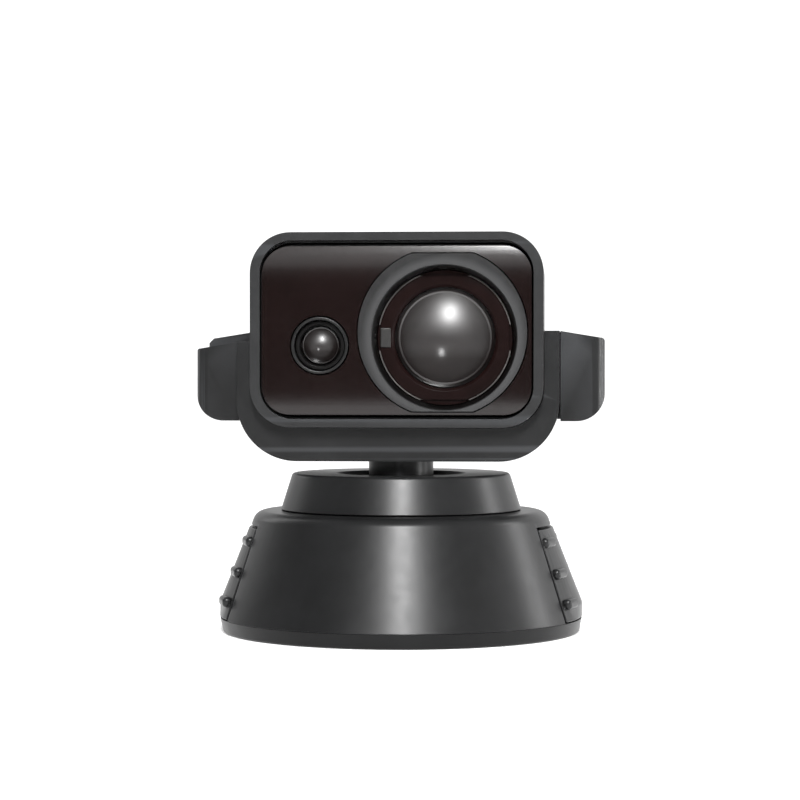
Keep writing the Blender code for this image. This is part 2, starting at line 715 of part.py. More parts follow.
def make_base_electronics():
    low, high = BOARD_BOTTOM_Z, BOARD_BOTTOM_Z + BOARD_THICKNESS
    outline = rounded_rectangle(BOARD_WIDTH, BOARD_DEPTH, 1, (0, BOARD_CENTRE_Y), 3)
    board = plate("base_board", [outline], low, high, "board", False)
    inside = high - OVERLAP
    join(board, box("controller_chip", (3.6, -11, inside), (8.4, -6.2, high + CHIP_RISE)))
    join(board, box("driver_chip", (-8.0, -10.6, inside), (-4.4, -7, high + 0.8 * CHIP_RISE)))
    bite = rod("stator_bite", (0, 0, low - 1), (0, 0, high + 1), STATOR_RADIUS + 0.35, segments=32)
    cut(board, bite)
    block = rounded_rectangle(CONNECTOR_WIDTH, CONNECTOR_DEPTH, 0.5, (0, CONNECTOR_Y), 3)
    dock = plate("dock_connector", [block], CONNECTOR_BOTTOM_Z, low - GAP, "black", False)
    bottom, top = CONTACT_Z
    for number in range(CONTACT_COUNT):
        x, y = CONTACT_PITCH * (number - (CONTACT_COUNT - 1) / 2), CONNECTOR_Y
        start, end, radius = (x, y, bottom - 1), (x, y, top + GAP), CONTACT_RADIUS + GAP
        cut(dock, rod(f"contact_hole_{number}", start, end, radius, segments=12))
        start, end = (x, y, bottom), (x, y, top)
        rod(f"contact_pin_{number + 1}", start, end, CONTACT_RADIUS, "brass", 12)


def flange_bolts():
    angles = [math.radians(90 + 120 * number) for number in range(3)]
    return [(FLANGE_BOLT_RADIUS * math.cos(a), FLANGE_BOLT_RADIUS * math.sin(a)) for a in angles]


def make_stem():
    stem = turned(
        "pan_stem",
        [
            (STEM_BORE, FLANGE_TOP_Z),
            (FLANGE_RADIUS, FLANGE_TOP_Z),
            (FLANGE_RADIUS, FLANGE_BOTTOM_Z),
            (STEM_RADIUS, FLANGE_BOTTOM_Z),
            (STEM_RADIUS, STEM_BOTTOM_Z),
            (STEM_BORE, STEM_BOTTOM_Z),
        ],
        "housing",
        steps=36,
    )
    for number, (x, y) in enumerate(flange_bolts()):
        start, end = (x, y, FLANGE_BOTTOM_Z - 1), (x, y, FLANGE_TOP_Z + 1)
        cut(stem, rod(f"flange_hole_{number}", start, end, FLANGE_HOLE, segments=10))
        head_at, name = (x, y, FLANGE_TOP_Z + HEAD_LIFT), f"stem_screw_{number + 1}"
        machine_screw(name, head_at, (0, 0, -1), FLANGE_SCREW_HEAD, FLANGE_SCREW_LENGTH)


def make_cradle():
    """The U that holds the case: its left arm is a little shorter than its right."""
    bend = BEZEL_CORNER
    outer_x, outer_z = CRADLE_HALF - CRADLE_CORNER, CRADLE_BOTTOM_Z + CRADLE_CORNER
    inner_x, inner_z = CRADLE_INNER_HALF - bend, CRADLE_FLOOR_Z + bend
    outline = [(-CRADLE_HALF, LEFT_ARM_TOP_Z)]
    outline += arc((-outer_x, outer_z), CRADLE_CORNER, 180, 270, 8)
    outline += arc((outer_x, outer_z), CRADLE_CORNER, 270, 360, 8)
    outline += [(CRADLE_HALF, RIGHT_ARM_TOP_Z), (CRADLE_INNER_HALF, RIGHT_ARM_TOP_Z)]
    outline += arc((inner_x, inner_z), bend, 0, -90, 6)
    outline += arc((-inner_x, inner_z), bend, -90, -180, 6)
    outline += [(-CRADLE_INNER_HALF, LEFT_ARM_TOP_Z)]
    cradle = plate("cradle", [outline], CRADLE_FRONT_Y, CRADLE_REAR_Y, "housing")
    seat_z = FLANGE_BOTTOM_Z - GAP
    below, seat, above = (0, 0, CRADLE_BOTTOM_Z - 1), (0, 0, seat_z), (0, 0, CRADLE_FLOOR_Z + 1)
    bore = rod("stem_bore", below, above, STEM_RADIUS + GAP, segments=36)
    cut(cradle, bore, rod("flange_seat", seat, above, FLANGE_RADIUS + 1.5 * GAP, segments=36))
    for number, (x, y) in enumerate(flange_bolts()):
        start, end = (x, y, seat_z - FLANGE_SCREW_LENGTH - GAP), (x, y, CRADLE_FLOOR_Z)
        cut(cradle, rod(f"cradle_thread_{number}", start, end, FLANGE_THREAD, segments=10))


def case_outline(inset=0.0):
    inset += CASE_INSET
    width, height = BEZEL_WIDTH - 2 * inset, BEZEL_HEIGHT - 2 * inset
    return rounded_rectangle(width, height, BEZEL_CORNER - inset, (0, HEAD_CENTRE_Z))


def case_screws():
    """The four screw places of the case, as (x, z)."""
    rises = (-CASE_SCREW_RISE, CASE_SCREW_RISE)
    return [(sx * CASE_SCREW_X, HEAD_CENTRE_Z + rise) for sx in (-1, 1) for rise in rises]


def make_case():
    outlines = [case_outline(), case_outline(CASE_WALL)]
    case = plate("lidar_case", outlines, CASE_FRONT_Y, CASE_REAR_Y, "housing")
    cover_rear = CASE_REAR_Y + GAP + COVER_THICKNESS
    web_far, rear = BEZEL_WIDTH / 2 - CASE_WEB_INSET, CASE_REAR_Y
    for number, (x, z) in enumerate(case_screws()):
        side = math.copysign(1, x)
        start, end = (x, CASE_BOSS_FRONT_Y, z), (x, rear, z)
        boss = rod(f"case_boss_{number}", start, end, CASE_BOSS_RADIUS, segments=16)
        low = (abs(x), CASE_BOSS_FRONT_Y + 2 * GAP, z - CASE_WEB_HALF)
        high = (web_far, rear - 2 * GAP, z + CASE_WEB_HALF)
        join(case, boss, side_box(f"case_web_{number}", side, low, high))
        start, end = (x, rear - CASE_SCREW_LENGTH - 0.9, z), (x, rear + 1, z)
        cut(case, rod(f"case_thread_{number}", start, end, CASE_THREAD, segments=10))
        head_at, name = (x, cover_rear + HEAD_LIFT, z), f"case_screw_{number + 1}"
        machine_screw(name, head_at, (0, -1, 0), HEAD_SCREW_RADIUS, CASE_SCREW_LENGTH)
    start, end = (0, 0, CRADLE_BOTTOM_Z), (0, 0, HEAD_CENTRE_Z - BEZEL_HEIGHT / 4)
    cut(case, rod("harness_hole", start, end, HARNESS_HOLE))
    holes = [circle(THREAD_HOLE_RADIUS, place, 12) for place in case_screws()]
    cover = [case_outline(), *holes]
    plate("case_rear_cover", cover, CASE_REAR_Y + GAP, cover_rear, "housing")


def make_face():
    gap = BARREL_CLEARANCE
    bezel = rounded_rectangle(BEZEL_WIDTH, BEZEL_HEIGHT, BEZEL_CORNER, (0, HEAD_CENTRE_Z), 8)
    opening = rounded_rectangle(
        OPENING_WIDTH, OPENING_HEIGHT, OPENING_CORNER, (0, HEAD_CENTRE_Z), 8
    )
    plate("front_bezel", [bezel, opening], BEZEL_FRONT_Y, CASE_FRONT_Y - GAP, "housing")
    panel = rounded_rectangle(PANEL_WIDTH, PANEL_HEIGHT, PANEL_CORNER, (0, PANEL_CENTRE_Z), 8)
    barrel_hole = flatted_circle(BARREL_RADIUS + gap, BARREL_FLAT + gap, (BARREL_X, BARREL_Z))
    emitter_hole = circle(EMITTER_RADIUS + gap, (EMITTER_X, EMITTER_Z), 32)
    holes = [barrel_hole, emitter_hole]
    plate("window_panel", [panel, *holes], PANEL_FRONT_Y, PANEL_REAR_Y, "panel")
    holder = case_outline(CASE_WALL + 2 * GAP)
    front, rear = PANEL_REAR_Y + GAP, -FILTER_BACK - GAP
    plate("optics_holder", [holder, *holes], front, rear, "black")


def lens_profile(radius, edge, apex, rim_radius, back, steps):
    """A domed lens with a wider rim behind the dome; heights run along the viewing axis."""
    sphere = (radius**2 + (apex - edge) ** 2) / (2 * (apex - edge))
    radii = [radius * math.sin(math.pi / 2 * i / steps) for i in range(steps + 1)]
    dome = [(r, apex - sphere + math.sqrt(sphere**2 - r**2)) for r in radii]
    rim = edge - 0.3
    return [*dome, (radius, rim), (rim_radius, rim), (rim_radius, back), (0, back)]


def make_receiver():
    outline = flatted_circle(BARREL_RADIUS, BARREL_FLAT, (BARREL_X, BARREL_Z), 16)
    bore = circle(RECEIVER_BORE, (RECEIVER_X, RECEIVER_Z), 48)
    plate("receiver_barrel", [outline, bore], BARREL_FRONT_Y, BARREL_REAR_Y, "barrel")
    place = (RECEIVER_X, 0, RECEIVER_Z)
    seat, inner = RECEIVER_BORE - GAP, RECEIVER_LENS + GAP
    retainer = turned(
        "receiver_retainer",
        [
            (SLOT_CIRCLE - GAP, RETAINER_FRONT),
            (SLOT_CIRCLE, RETAINER_STEP),
            (seat, RETAINER_STEP),
            (seat, RETAINER_BACK),
            (inner, RETAINER_BACK),
            (inner, RETAINER_STEP + GAP),
            (inner + 0.4, RETAINER_FRONT),
        ],
        "black",
        place,
        FACING_FRONT,
        48,
    )
    for number, (along_x, along_z) in enumerate(((1, 0), (-1, 0), (0, 1), (0, -1))):
        x, z = RECEIVER_X + SLOT_CIRCLE * along_x, RECEIVER_Z + SLOT_CIRCLE * along_z
        half_x, half_z = (SLOT_LONG, SLOT_SHORT) if along_x else (SLOT_SHORT, SLOT_LONG)
        low = (x - half_x, -RETAINER_FRONT - 1, z - half_z)
        high = (x + half_x, 2 * GAP - RETAINER_STEP, z + half_z)
        cut(retainer, box(f"spanner_slot_{number}", low, high))
    dome = lens_profile(RECEIVER_LENS, LENS_EDGE, LENS_APEX, seat - 2 * GAP, LENS_BACK, 7)
    turned("receiver_lens", dome, "lens", place, FACING_FRONT, 48)
    radius, front, back = FILTER_RADIUS, FILTER_FRONT, FILTER_BACK
    window = [(0, front), (radius, front), (radius, back), (0, back)]
    turned("bandpass_filter", window, "lens", place, FACING_FRONT)


def make_emitter():
    place = (EMITTER_X, 0, EMITTER_Z)
    barrel = tube(EMITTER_RADIUS, EMITTER_BORE, -BARREL_REAR_Y, -BARREL_FRONT_Y)
    turned("emitter_barrel", barrel, "barrel", place, FACING_FRONT, 36)
    seat = EMITTER_BORE - GAP
    retainer = tube(seat, EMITTER_LENS + GAP, *EMITTER_RETAINER)
    turned("emitter_retainer", retainer, "black", place, FACING_FRONT, 36)
    ends = (EMITTER_EDGE, EMITTER_APEX, seat - GAP, EMITTER_BACK)
    dome = lens_profile(EMITTER_LENS, *ends, 5)
    turned("emitter_lens", dome, "lens", place, FACING_FRONT, 36)
    diode = [
        (0, DIODE_FRONT),
        (DIODE_RADIUS, DIODE_FRONT),
        (DIODE_RADIUS, DIODE_STEP),
        (DIODE_FLANGE, DIODE_STEP),
        (DIODE_FLANGE, DIODE_BACK),
        (0, DIODE_BACK),
    ]
    turned("laser_diode", diode, "steel", place, FACING_FRONT, 20)


def make_head_electronics():
    width, height = SENSOR_BOARD_WIDTH, SENSOR_BOARD_HEIGHT
    board = rounded_rectangle(width, height, 2, (0, HEAD_CENTRE_Z), 3)
    plate("sensor_board", [board], *SENSOR_BOARD_Y, "board")
    half, rear = DETECTOR_HALF, SENSOR_BOARD_Y[0] - GAP
    low = (RECEIVER_X - half, DETECTOR_FRONT_Y, RECEIVER_Z - half)
    box("detector_chip", low, (RECEIVER_X + half, rear, RECEIVER_Z + half), "black")
    z, half = HOUSING_SCREW_Z, PROCESSOR_CHIP_HALF
    outline = rounded_rectangle(PROCESSOR_WIDTH, PROCESSOR_HEIGHT, 0.8, (0, z), 2)
    processor = plate("processor_board", [outline], *PROCESSOR_Y, "board")
    low = (-half, PROCESSOR_CHIP_FRONT_Y, z - half)
    join(processor, box("processor_chip", low, (half, PROCESSOR_Y[0] + OVERLAP, z + half)))


def pod_profile(top):
    """The +X side of a pod in X and Z, from its inner lower edge round to its outer top edge."""
    corner = (POD_OUTER - POD_CORNER, POD_BOTTOM_Z + POD_CORNER)
    profile = arc(corner, POD_CORNER, 270, 360, 7)
    return profile + [(POD_OUTER, top - POD_TOP_DROP - 0.6), (POD_OUTER - 0.6, top - POD_TOP_DROP)]


def make_pod(side, label, top):
    inner = CRADLE_HALF + GAP
    outline = [(inner, top), (inner, POD_BOTTOM_Z), *pod_profile(top)]
    outline = [(side * x, z) for x, z in outline]
    pod = plate(f"pod_{label}", [outline], POD_FRONT_Y, CRADLE_REAR_Y, "housing")
    near, far = inner + POD_WALL, POD_OUTER - POD_WALL
    boss = POD_WALL
    levels = (
        (POD_BOTTOM_Z + 2.4, HOUSING_SCREW_Z - boss),
        (HOUSING_SCREW_Z + boss, top - POD_TOP_DROP - POD_WALL),
    )
    for number, (low, high) in enumerate(levels):
        corner_low = (near, POD_FRONT_Y + POD_WALL, low)
        corner_high = (far, CRADLE_REAR_Y + 1, high)
        cut(pod, side_box(f"pod_cavity_{label}_{number}", side, corner_low, corner_high))
    x, z = side * HOUSING_SCREW_X, HOUSING_SCREW_Z
    start, end = (x, HOUSING_SEAT_Y - HOUSING_SCREW_LENGTH - 1.6, z), (x, CRADLE_REAR_Y + 1, z)
    cut(pod, rod(f"pod_thread_{label}", start, end, CASE_THREAD, segments=10))


def make_rear_housing():
    top = RIGHT_ARM_TOP_Z
    right = [*pod_profile(top), (CRADLE_HALF, top)]
    outline = right + [(-x, z) for x, z in right[::-1]]
    housing = plate("rear_housing", [outline], HOUSING_FRONT_Y, HOUSING_REAR_Y, "housing")
    plan = rounded_rectangle(2 * POD_OUTER + 0.02, 2 * HOUSING_REAR_Y, HOUSING_CORNER)
    low, high = POD_BOTTOM_Z - 2, top + 2
    boolean(housing, "INTERSECT", plate("housing_plan", [plan], low, high, facing_front=False))
    clear, half = COVER_CLEARANCE_Y, CRADLE_INNER_HALF
    cavity = HOUSING_CAVITY_HALF
    cut(
        housing,
        box("cover_clearance", (-half, 5, low), (half, clear, high)),
        box(
            "housing_cavity",
            (-cavity, HOUSING_FRONT_Y - 0.5, POD_BOTTOM_Z + HOUSING_WALL),
            (cavity, HOUSING_REAR_Y - HOUSING_WALL, top - HOUSING_WALL),
        ),
    )
    for side, label in ((-1, "left"), (1, "right")):
        x, z = side * HOUSING_SCREW_X, HOUSING_SCREW_Z
        rear = (x, HOUSING_REAR_Y + 1, z)
        bore = rod(f"housing_bore_{label}", (x, 6, z), rear, CASE_THREAD, segments=12)
        seat_at = (x, HOUSING_SEAT_Y, z)
        cut(housing, bore, rod(f"housing_seat_{label}", seat_at, rear, HOUSING_SEAT_RADIUS))
        head_at, name = (x, HOUSING_SEAT_Y + HEAD_LIFT, z), f"housing_screw_{label}"
        machine_screw(name, head_at, (0, -1, 0), HEAD_SCREW_RADIUS, HOUSING_SCREW_LENGTH)


def make_harness():
    """The head's cable: out of the case floor, down the hollow stem, to the slip ring."""
    stem_top, plug_top = FLANGE_TOP_Z + 1.4, ROTOR_TOP_Z + 2 * GAP
    route = [(0, y, z) for y, z in CABLE_BEND]
    route += [(0, 0, stem_top), (0, 0, plug_top)]
    wire("head_harness", route, CABLE_RADIUS, "cable")


def ride_on(axis_name, location, names):
    """Parents the named pieces to an empty on their joint's axis."""
    empty = bpy.data.objects.new(axis_name, None)
    PARTS.objects.link(empty)
    empty.location = Vector(location) * MM
    bpy.context.view_layer.update()
    for name in names:
        piece = bpy.data.objects[name]
        piece.parent = empty
        piece.matrix_parent_inverse = empty.matrix_world.inverted()


def parent_moving_pieces():
    static = ["bottom_ring", "base_shell", "collar_cover", "floor_plate", "pan_motor"]
    static += ["base_board", "dock_connector", "slip_ring_stator", "bearing_outer_race"]
    static += [f"base_screw_{n}" for n in (1, 2, 3, 4)] + [f"contact_pin_{n}" for n in (1, 2, 3, 4)]
    static += [f"latch_pin_{label}" for label in ("left", "right")]
    static += [f"latch_spring_{label}" for label in ("left", "right")]
    movers = ["motor_pinion", "bearing_ball_ring", "latch_left", "latch_right"]
    head = [obj.name for obj in PARTS.objects if obj.name not in static + movers]
    ride_on("pan_axis", (0, 0, COLLAR_TOP_Z), head)
    ride_on("ball_axis", (0, 0, BEARING_TOP_Z), ["bearing_ball_ring"])
    ride_on("pinion_axis", (0, MOTOR_Y, GEAR_BOTTOM_Z), ["motor_pinion"])
    for side, label in ((-1, "left"), (1, "right")):
        hinge = (side * LATCH_HINGE_X, 0, LATCH_HINGE_Z)
        ride_on(f"latch_axis_{label}", hinge, [f"latch_{label}"])


def smooth_round_pieces():
    for obj in PARTS.objects:
        if obj.type == "MESH":
            obj.data.shade_smooth()
            obj.data.set_sharp_from_angle(angle=math.radians(30))


def main():
    make_bottom_ring()
    make_base_shell()
    make_collar()
    make_floor_plate()
    make_latch(-1, "left")
    make_latch(1, "right")
    make_drive()
    make_bearing()
    make_slip_ring()
    make_base_electronics()
    make_stem()
    make_cradle()
    make_case()
    make_face()
    make_receiver()
    make_emitter()
    make_head_electronics()
    make_pod(-1, "left", LEFT_ARM_TOP_Z)
    make_pod(1, "right", RIGHT_ARM_TOP_Z)
    make_rear_housing()
    make_harness()
    parent_moving_pieces()
    smooth_round_pieces()


main()
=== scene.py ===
"""The looks of the scanning lidar module: fine shells, optics and materials over the CAD frame.

Lengths in this file are in millimetres and MM turns them into metres. +Z is up, the lenses look
along -Y. Places come from the CAD nodes' boxes, and wall sizes repeat those of the CAD.
"""
import math

import bmesh
import bpy
from mathutils import Matrix, Vector


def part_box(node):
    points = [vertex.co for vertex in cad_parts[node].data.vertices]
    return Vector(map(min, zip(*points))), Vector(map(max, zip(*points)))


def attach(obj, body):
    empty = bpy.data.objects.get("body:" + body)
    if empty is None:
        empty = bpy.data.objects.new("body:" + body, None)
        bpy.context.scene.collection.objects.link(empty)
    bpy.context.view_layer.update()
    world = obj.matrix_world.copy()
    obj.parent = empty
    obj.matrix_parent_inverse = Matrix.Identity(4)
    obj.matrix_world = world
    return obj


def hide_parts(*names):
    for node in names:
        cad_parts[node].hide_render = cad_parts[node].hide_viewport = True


MM = 0.001
TINY = 1e-6
SMALL_HOLE = 24  # segments round a small hole
SHARP_ANGLE = math.radians(30)  # edges that turn by more than this are rounded
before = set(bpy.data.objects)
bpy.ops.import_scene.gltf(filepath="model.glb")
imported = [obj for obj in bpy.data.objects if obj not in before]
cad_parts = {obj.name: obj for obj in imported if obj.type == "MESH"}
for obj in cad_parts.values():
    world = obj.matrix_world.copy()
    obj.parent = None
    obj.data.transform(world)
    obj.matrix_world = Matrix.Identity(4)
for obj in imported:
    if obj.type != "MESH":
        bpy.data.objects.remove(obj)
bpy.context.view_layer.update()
FACING_FRONT = (math.pi / 2, 0, 0)  # turns local +Z to -Y and local +Y to +Z
SIDES = ((-1, "left"), (1, "right"))
STEM_SCREWS = (1, 2, 3)
ONE_TO_FOUR = (1, 2, 3, 4)  # the numbers of the base screws, case screws and contact pins

# Base: the ring, the shell over it, and the collar on top
RING_FOOT_INSET = 0.35
RING_INNER, RING_LIP = 19.6, 20.75
RING_TOP_DROP = 0.15  # from the shell's CAD foot down to the ring's top
SEAM = 0.02  # between the ring and the shell's skirt
CONE_SLOPE = 0.3937
RIM_TOP_Z = 3.66
SHELL_WALL = 1.6
SHELL_OPENING = 12.2
SHELL_CEILING_Z = 13.45
SHOULDER_FILLET = 1.6
BOSS_RADIUS, BOSS_TOP_Z = 1.7, 14  # bosses for the screws through the floor
BOSS_THREAD, BOSS_THREAD_TOP_Z = 0.65, 11.5
COLLAR_SLOPE, COLLAR_BORE = 0.317, 4.54
COLLAR_DISH, COLLAR_DISH_Z = 7.6, 19.1
BEARING_SEAT, BEARING_TOP_Z = 8.1, 18.2

# Latches: a pad in the shell's window, on a hinge pin
WINDOW_HALF_ANGLE = 24.0
LATCH_HALF_ANGLE = 23.0
LIP_GAP_HALF_ANGLE = 25.0
LATCH_TOP_GAP = 0.35
LATCH_WALL, PAD_PROUD = 1.5, 0.05
KNUCKLE_HALF, KNUCKLE_RADIUS = 4.3, 1.1
LEG_HALF, LEG_FOOT_Z = 3.4, 1.5
BAR_ANGLES = (-17.4, 17.4)
BAR_HEIGHTS = (4.05, 7.65, 11.4)
BAR_WIDTH, BAR_HEIGHT, BAR_PROUD = 3.4, 1.3, 0.4
BAR_DEPTH = 1.2  # with the part of the bar inside the pad

# Head: the case, the cradle round it, and the pods at its sides
BEZEL_CORNER, BEZEL_OPENING_CORNER = 5.0, 4.0
BEZEL_OPENING_HALF = 16.7
CASE_CORNER = 5.0
CASE_INSET, CASE_WALL = 0.15, 1.1
CASE_BOSS_RADIUS = 1.6
CASE_SIDE = 16.8  # how far out the webs from the bosses reach into the case's sides
HARNESS_HOLE = 2.0
CRADLE_CORNER, CRADLE_INNER_HALF = 7.4, 17.95
CRADLE_FLOOR_RISE = 4.1
STEM_BORE = 4.14
FACES_FRONT_OR_REAR = 0.9999  # a normal's part along Y from which a cradle face is shaded flat
POD_CORNER, POD_FRONT_CORNER = 3.5, 1.6
POD_WALL, POD_TOP_DROP = 1.3, 0.8
POST_HALF = 1.3  # half the height of a pod's screw post, between its two cavities
THREAD_RADIUS = 0.6

# Optics; lengths along a lens's axis are measured forwards from the pan axis
WINDOW_CORNER, WINDOW_CLEARANCE = 3.4, 0.15
# within the second radius the receiver ring is painted near black, as painted shade in its bore
RECEIVER_BORE, PAINTED_SHADE_RADIUS = 8.33, 8.8
RETAINER_INNER, SLOT_RADIUS = 6.2, 8.3
EMITTER_BORE, EMITTER_RETAINER_INNER = 3.1, 2.45

# Camera, fitted to the view: bearing, distance from the pan axis, eye height, point aimed at
CAMERA_BEARING = math.radians(4.2)
CAMERA_DISTANCE = 311.0
CAMERA_HEIGHT = 33.6
CAMERA_AIM_SIDE, CAMERA_AIM_Z = -0.14, 28.73
CAMERA_LENS, CAMERA_SENSOR = 112.05, 36
EXPOSURE = 0.3
FLOOR_REACH = 270.0  # how far the floor runs in front of the part
FLOOR_HALF, FLOOR_DROP = 2500.0, 0.02
LIGHT_AIM_Z = 22


# ---------------------------------------------------------------- shapes


def low_high(node):
    """A CAD node's lowest and highest corners, in millimetres."""
    low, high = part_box(node)
    return low / MM, high / MM


def middle_of(node):
    """The middle of a CAD node's box, in millimetres."""
    low, high = low_high(node)
    return (low + high) / 2


def axis_of(node):
    """A point on an optical node's viewing axis, which runs along Y."""
    middle = middle_of(node)
    return (middle.x, 0, middle.z)


def new_piece(name, mesh, location=(0, 0, 0), rotation=(0, 0, 0)):
    obj = bpy.data.objects.new(name, mesh)
    obj.location = Vector(location) * MM
    obj.rotation_euler = rotation
    bpy.context.scene.collection.objects.link(obj)
    return obj


def mesh_of(bm, name):
    bmesh.ops.recalc_face_normals(bm, faces=bm.faces)
    mesh = bpy.data.meshes.new(name)
    bm.to_mesh(mesh)
    bm.free()
    return mesh


def arc(centre, radius, start, end, steps):
    """Points on an arc from one angle to another, in degrees."""
    angles = [math.radians(start + (end - start) * i / steps) for i in range(steps + 1)]
    return [(centre[0] + radius * math.cos(a), centre[1] + radius * math.sin(a)) for a in angles]


def circle(radius, centre, steps):
    return arc(centre, radius, 0, 360 * (steps - 1) / steps, steps - 1)


def fillet(points, radii, steps=6):
    """A closed outline with each corner rounded to its own radius; 0 leaves it sharp."""
    outline = []
    for i, radius in enumerate(radii):
        corner = Vector(points[i])
        if radius == 0:
            outline.append(tuple(corner))
            continue
        back = (Vector(points[i - 1]) - corner).normalized()
        onward = (Vector(points[(i + 1) % len(points)]) - corner).normalized()
        half = math.acos(max(-1, min(1, back.dot(onward)))) / 2
        centre = corner + (back + onward).normalized() * (radius / math.sin(half))
        first = corner + back * (radius / math.tan(half)) - centre
        last = corner + onward * (radius / math.tan(half)) - centre
        turn = math.atan2(first.x * last.y - first.y * last.x, first.dot(last))
        for step in range(steps + 1):
            a = turn * step / steps
            x = first.x * math.cos(a) - first.y * math.sin(a)
            y = first.x * math.sin(a) + first.y * math.cos(a)
            outline.append((centre.x + x, centre.y + y))
    return outline


def rounded_rectangle(low, high, radius, steps=20):
    """A rectangle with round corners, from its lowest to its highest corner."""
    corners = [(high[0], low[1]), (high[0], high[1]), (low[0], high[1]), (low[0], low[1])]
    return fillet(corners, [radius] * 4, steps)


def turned(name, profile, location=(0, 0, 0), rotation=(0, 0, 0), steps=144):
    """A profile of (radius, height) turned about Z. It is closed unless it starts on the axis."""
    bm = bmesh.new()
    on_axis = profile[0][0] < TINY
    angles = [2 * math.pi * i / steps for i in range(steps)]
    rings = []
    for r, z in profile:
        if r < TINY:
            rings.append([bm.verts.new((0, 0, z * MM))])
            continue
        ring = [(r * math.cos(a) * MM, r * math.sin(a) * MM, z * MM) for a in angles]
        rings.append([bm.verts.new(place) for place in ring])
    pairs = list(zip(rings, rings[1:]))
    if not on_axis:
        pairs.append((rings[-1], rings[0]))
    for first, second in pairs:
        for i in range(steps):
            j = (i + 1) % steps
            corners = [first[i % len(first)], second[i % len(second)]]
            corners += [second[j % len(second)], first[j % len(first)]]
            distinct = list(dict.fromkeys(corners))
            if len(distinct) > 2:
                bm.faces.new(distinct)
    return new_piece(name, mesh_of(bm, name), location, rotation)


def slab(name, outlines, low, high, plane="XZ"):
    """Flat outlines (the first outer, the rest holes) given a thickness between low and high.

    In the XZ plane the thickness runs along Y; in XY along Z; in YZ along X.
    """
    curve = bpy.data.curves.new(name, "CURVE")
    curve.dimensions = "2D"
    curve.fill_mode = "BOTH"
    curve.extrude = (high - low) / 2 * MM
    for outline in outlines:
        spline = curve.splines.new("POLY")
        spline.points.add(len(outline) - 1)
        for point, (x, y) in zip(spline.points, outline):
            point.co = (x * MM, y * MM, 0, 1)
        spline.use_cyclic_u = True
    middle = (low + high) / 2 * MM
    place = {
        "XZ": Matrix.Translation((0, middle, 0)) @ Matrix.Rotation(math.pi / 2, 4, "X"),
        "XY": Matrix.Translation((0, 0, middle)),
        "YZ": Matrix.Translation((middle, 0, 0))
        @ Matrix(((0, 0, 1, 0), (1, 0, 0, 0), (0, 1, 0, 0), (0, 0, 0, 1))),
    }[plane]
    source = bpy.data.objects.new(name + "_outline", curve)
    bpy.context.scene.collection.objects.link(source)
    bpy.context.view_layer.update()
    graph = bpy.context.evaluated_depsgraph_get()
    mesh = bpy.data.meshes.new_from_object(source.evaluated_get(graph))
    mesh.transform(place)
    bpy.data.objects.remove(source)
    bm = bmesh.new()
    bm.from_mesh(mesh)
    bmesh.ops.remove_doubles(bm, verts=bm.verts, dist=TINY)
    bpy.data.meshes.remove(mesh)
    return new_piece(name, mesh_of(bm, name))


def block(name, low, high, bevel=0.0):
    """A box between two corners, with its edges rounded."""
    bm = bmesh.new()
    bmesh.ops.create_cube(bm, size=1)
    size = [(b - a) * MM for a, b in zip(low, high)]
    centre = [(a + b) / 2 * MM for a, b in zip(low, high)]
    place = Matrix.Translation(centre) @ Matrix.Diagonal((*size, 1))
    bmesh.ops.transform(bm, verts=bm.verts, matrix=place)
    if bevel:
        bmesh.ops.bevel(
            bm, geom=bm.edges[:], offset=bevel * MM, segments=4, profile=0.5, affect="EDGES"
        )
    return new_piece(name, mesh_of(bm, name))


def rod(name, start, end, radius, segments=48):
    axis, size = (Vector(end) - Vector(start)) * MM, radius * MM
    bm = bmesh.new()
    bmesh.ops.create_cone(
        bm, cap_ends=True, segments=segments, radius1=size, radius2=size, depth=axis.length
    )
    turn = axis.to_track_quat("Z", "Y").to_matrix().to_4x4()
    centre = (Vector(start) + Vector(end)) / 2 * MM
    bmesh.ops.transform(bm, verts=bm.verts, matrix=Matrix.Translation(centre) @ turn)
    return new_piece(name, mesh_of(bm, name))


def sector(name, side, half_angle, low, high):
    """A wedge about the Z axis on the +X or -X side, from inside the base to outside it."""
    near, far = 13.5, 27.0
    outline = arc((0, 0), far, -half_angle, half_angle, 8)
    outline += arc((0, 0), near, half_angle, -half_angle, 8)
    return slab(name, [[(side * x, y) for x, y in outline]], low, high, "XY")


def combine(obj, operation, *tools, keep_tools=False):
    """Applies exact Booleans and removes the tools, unless they are needed again."""
    for tool in tools:
        modifier = obj.modifiers.new(tool.name, "BOOLEAN")
        modifier.operation = operation
        modifier.solver = "EXACT"
        modifier.object = tool
    bake_modifiers(obj)
    if not keep_tools:
        for tool in tools:
            bpy.data.objects.remove(tool)


def bake_modifiers(obj):
    bpy.context.view_layer.update()
    graph = bpy.context.evaluated_depsgraph_get()
    mesh = bpy.data.meshes.new_from_object(obj.evaluated_get(graph))
    obj.modifiers.clear()
    old, obj.data = obj.data, mesh
    bpy.data.meshes.remove(old)


def soften(obj, width, segments=3):
    """Rounds an object's sharp edges and shades the rest smooth."""
    weld = obj.modifiers.new("Weld", "WELD")
    weld.merge_threshold = 2 * TINY
    if width:
        bevel = obj.modifiers.new("Round edges", "BEVEL")
        bevel.width = width * MM
        bevel.segments = segments
        bevel.limit_method = "ANGLE"
        bevel.angle_limit = SHARP_ANGLE
        bevel.use_clamp_overlap = True
    flat = obj.modifiers.new("Flat faces", "WEIGHTED_NORMAL")
    flat.keep_sharp = True
    obj.data.polygons.foreach_set("use_smooth", [True] * len(obj.data.polygons))
    obj.data.set_sharp_from_angle(angle=SHARP_ANGLE)


def finish_piece(obj, body, material, nodes, width=0.0, segments=3):
    """Gives a new piece its finish and puts it in the place of its CAD nodes."""
    obj.data.materials.clear()
    obj.data.materials.append(material)
    soften(obj, width, segments)
    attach(obj, body)
    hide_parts(*nodes)


# ---------------------------------------------------------------- materials


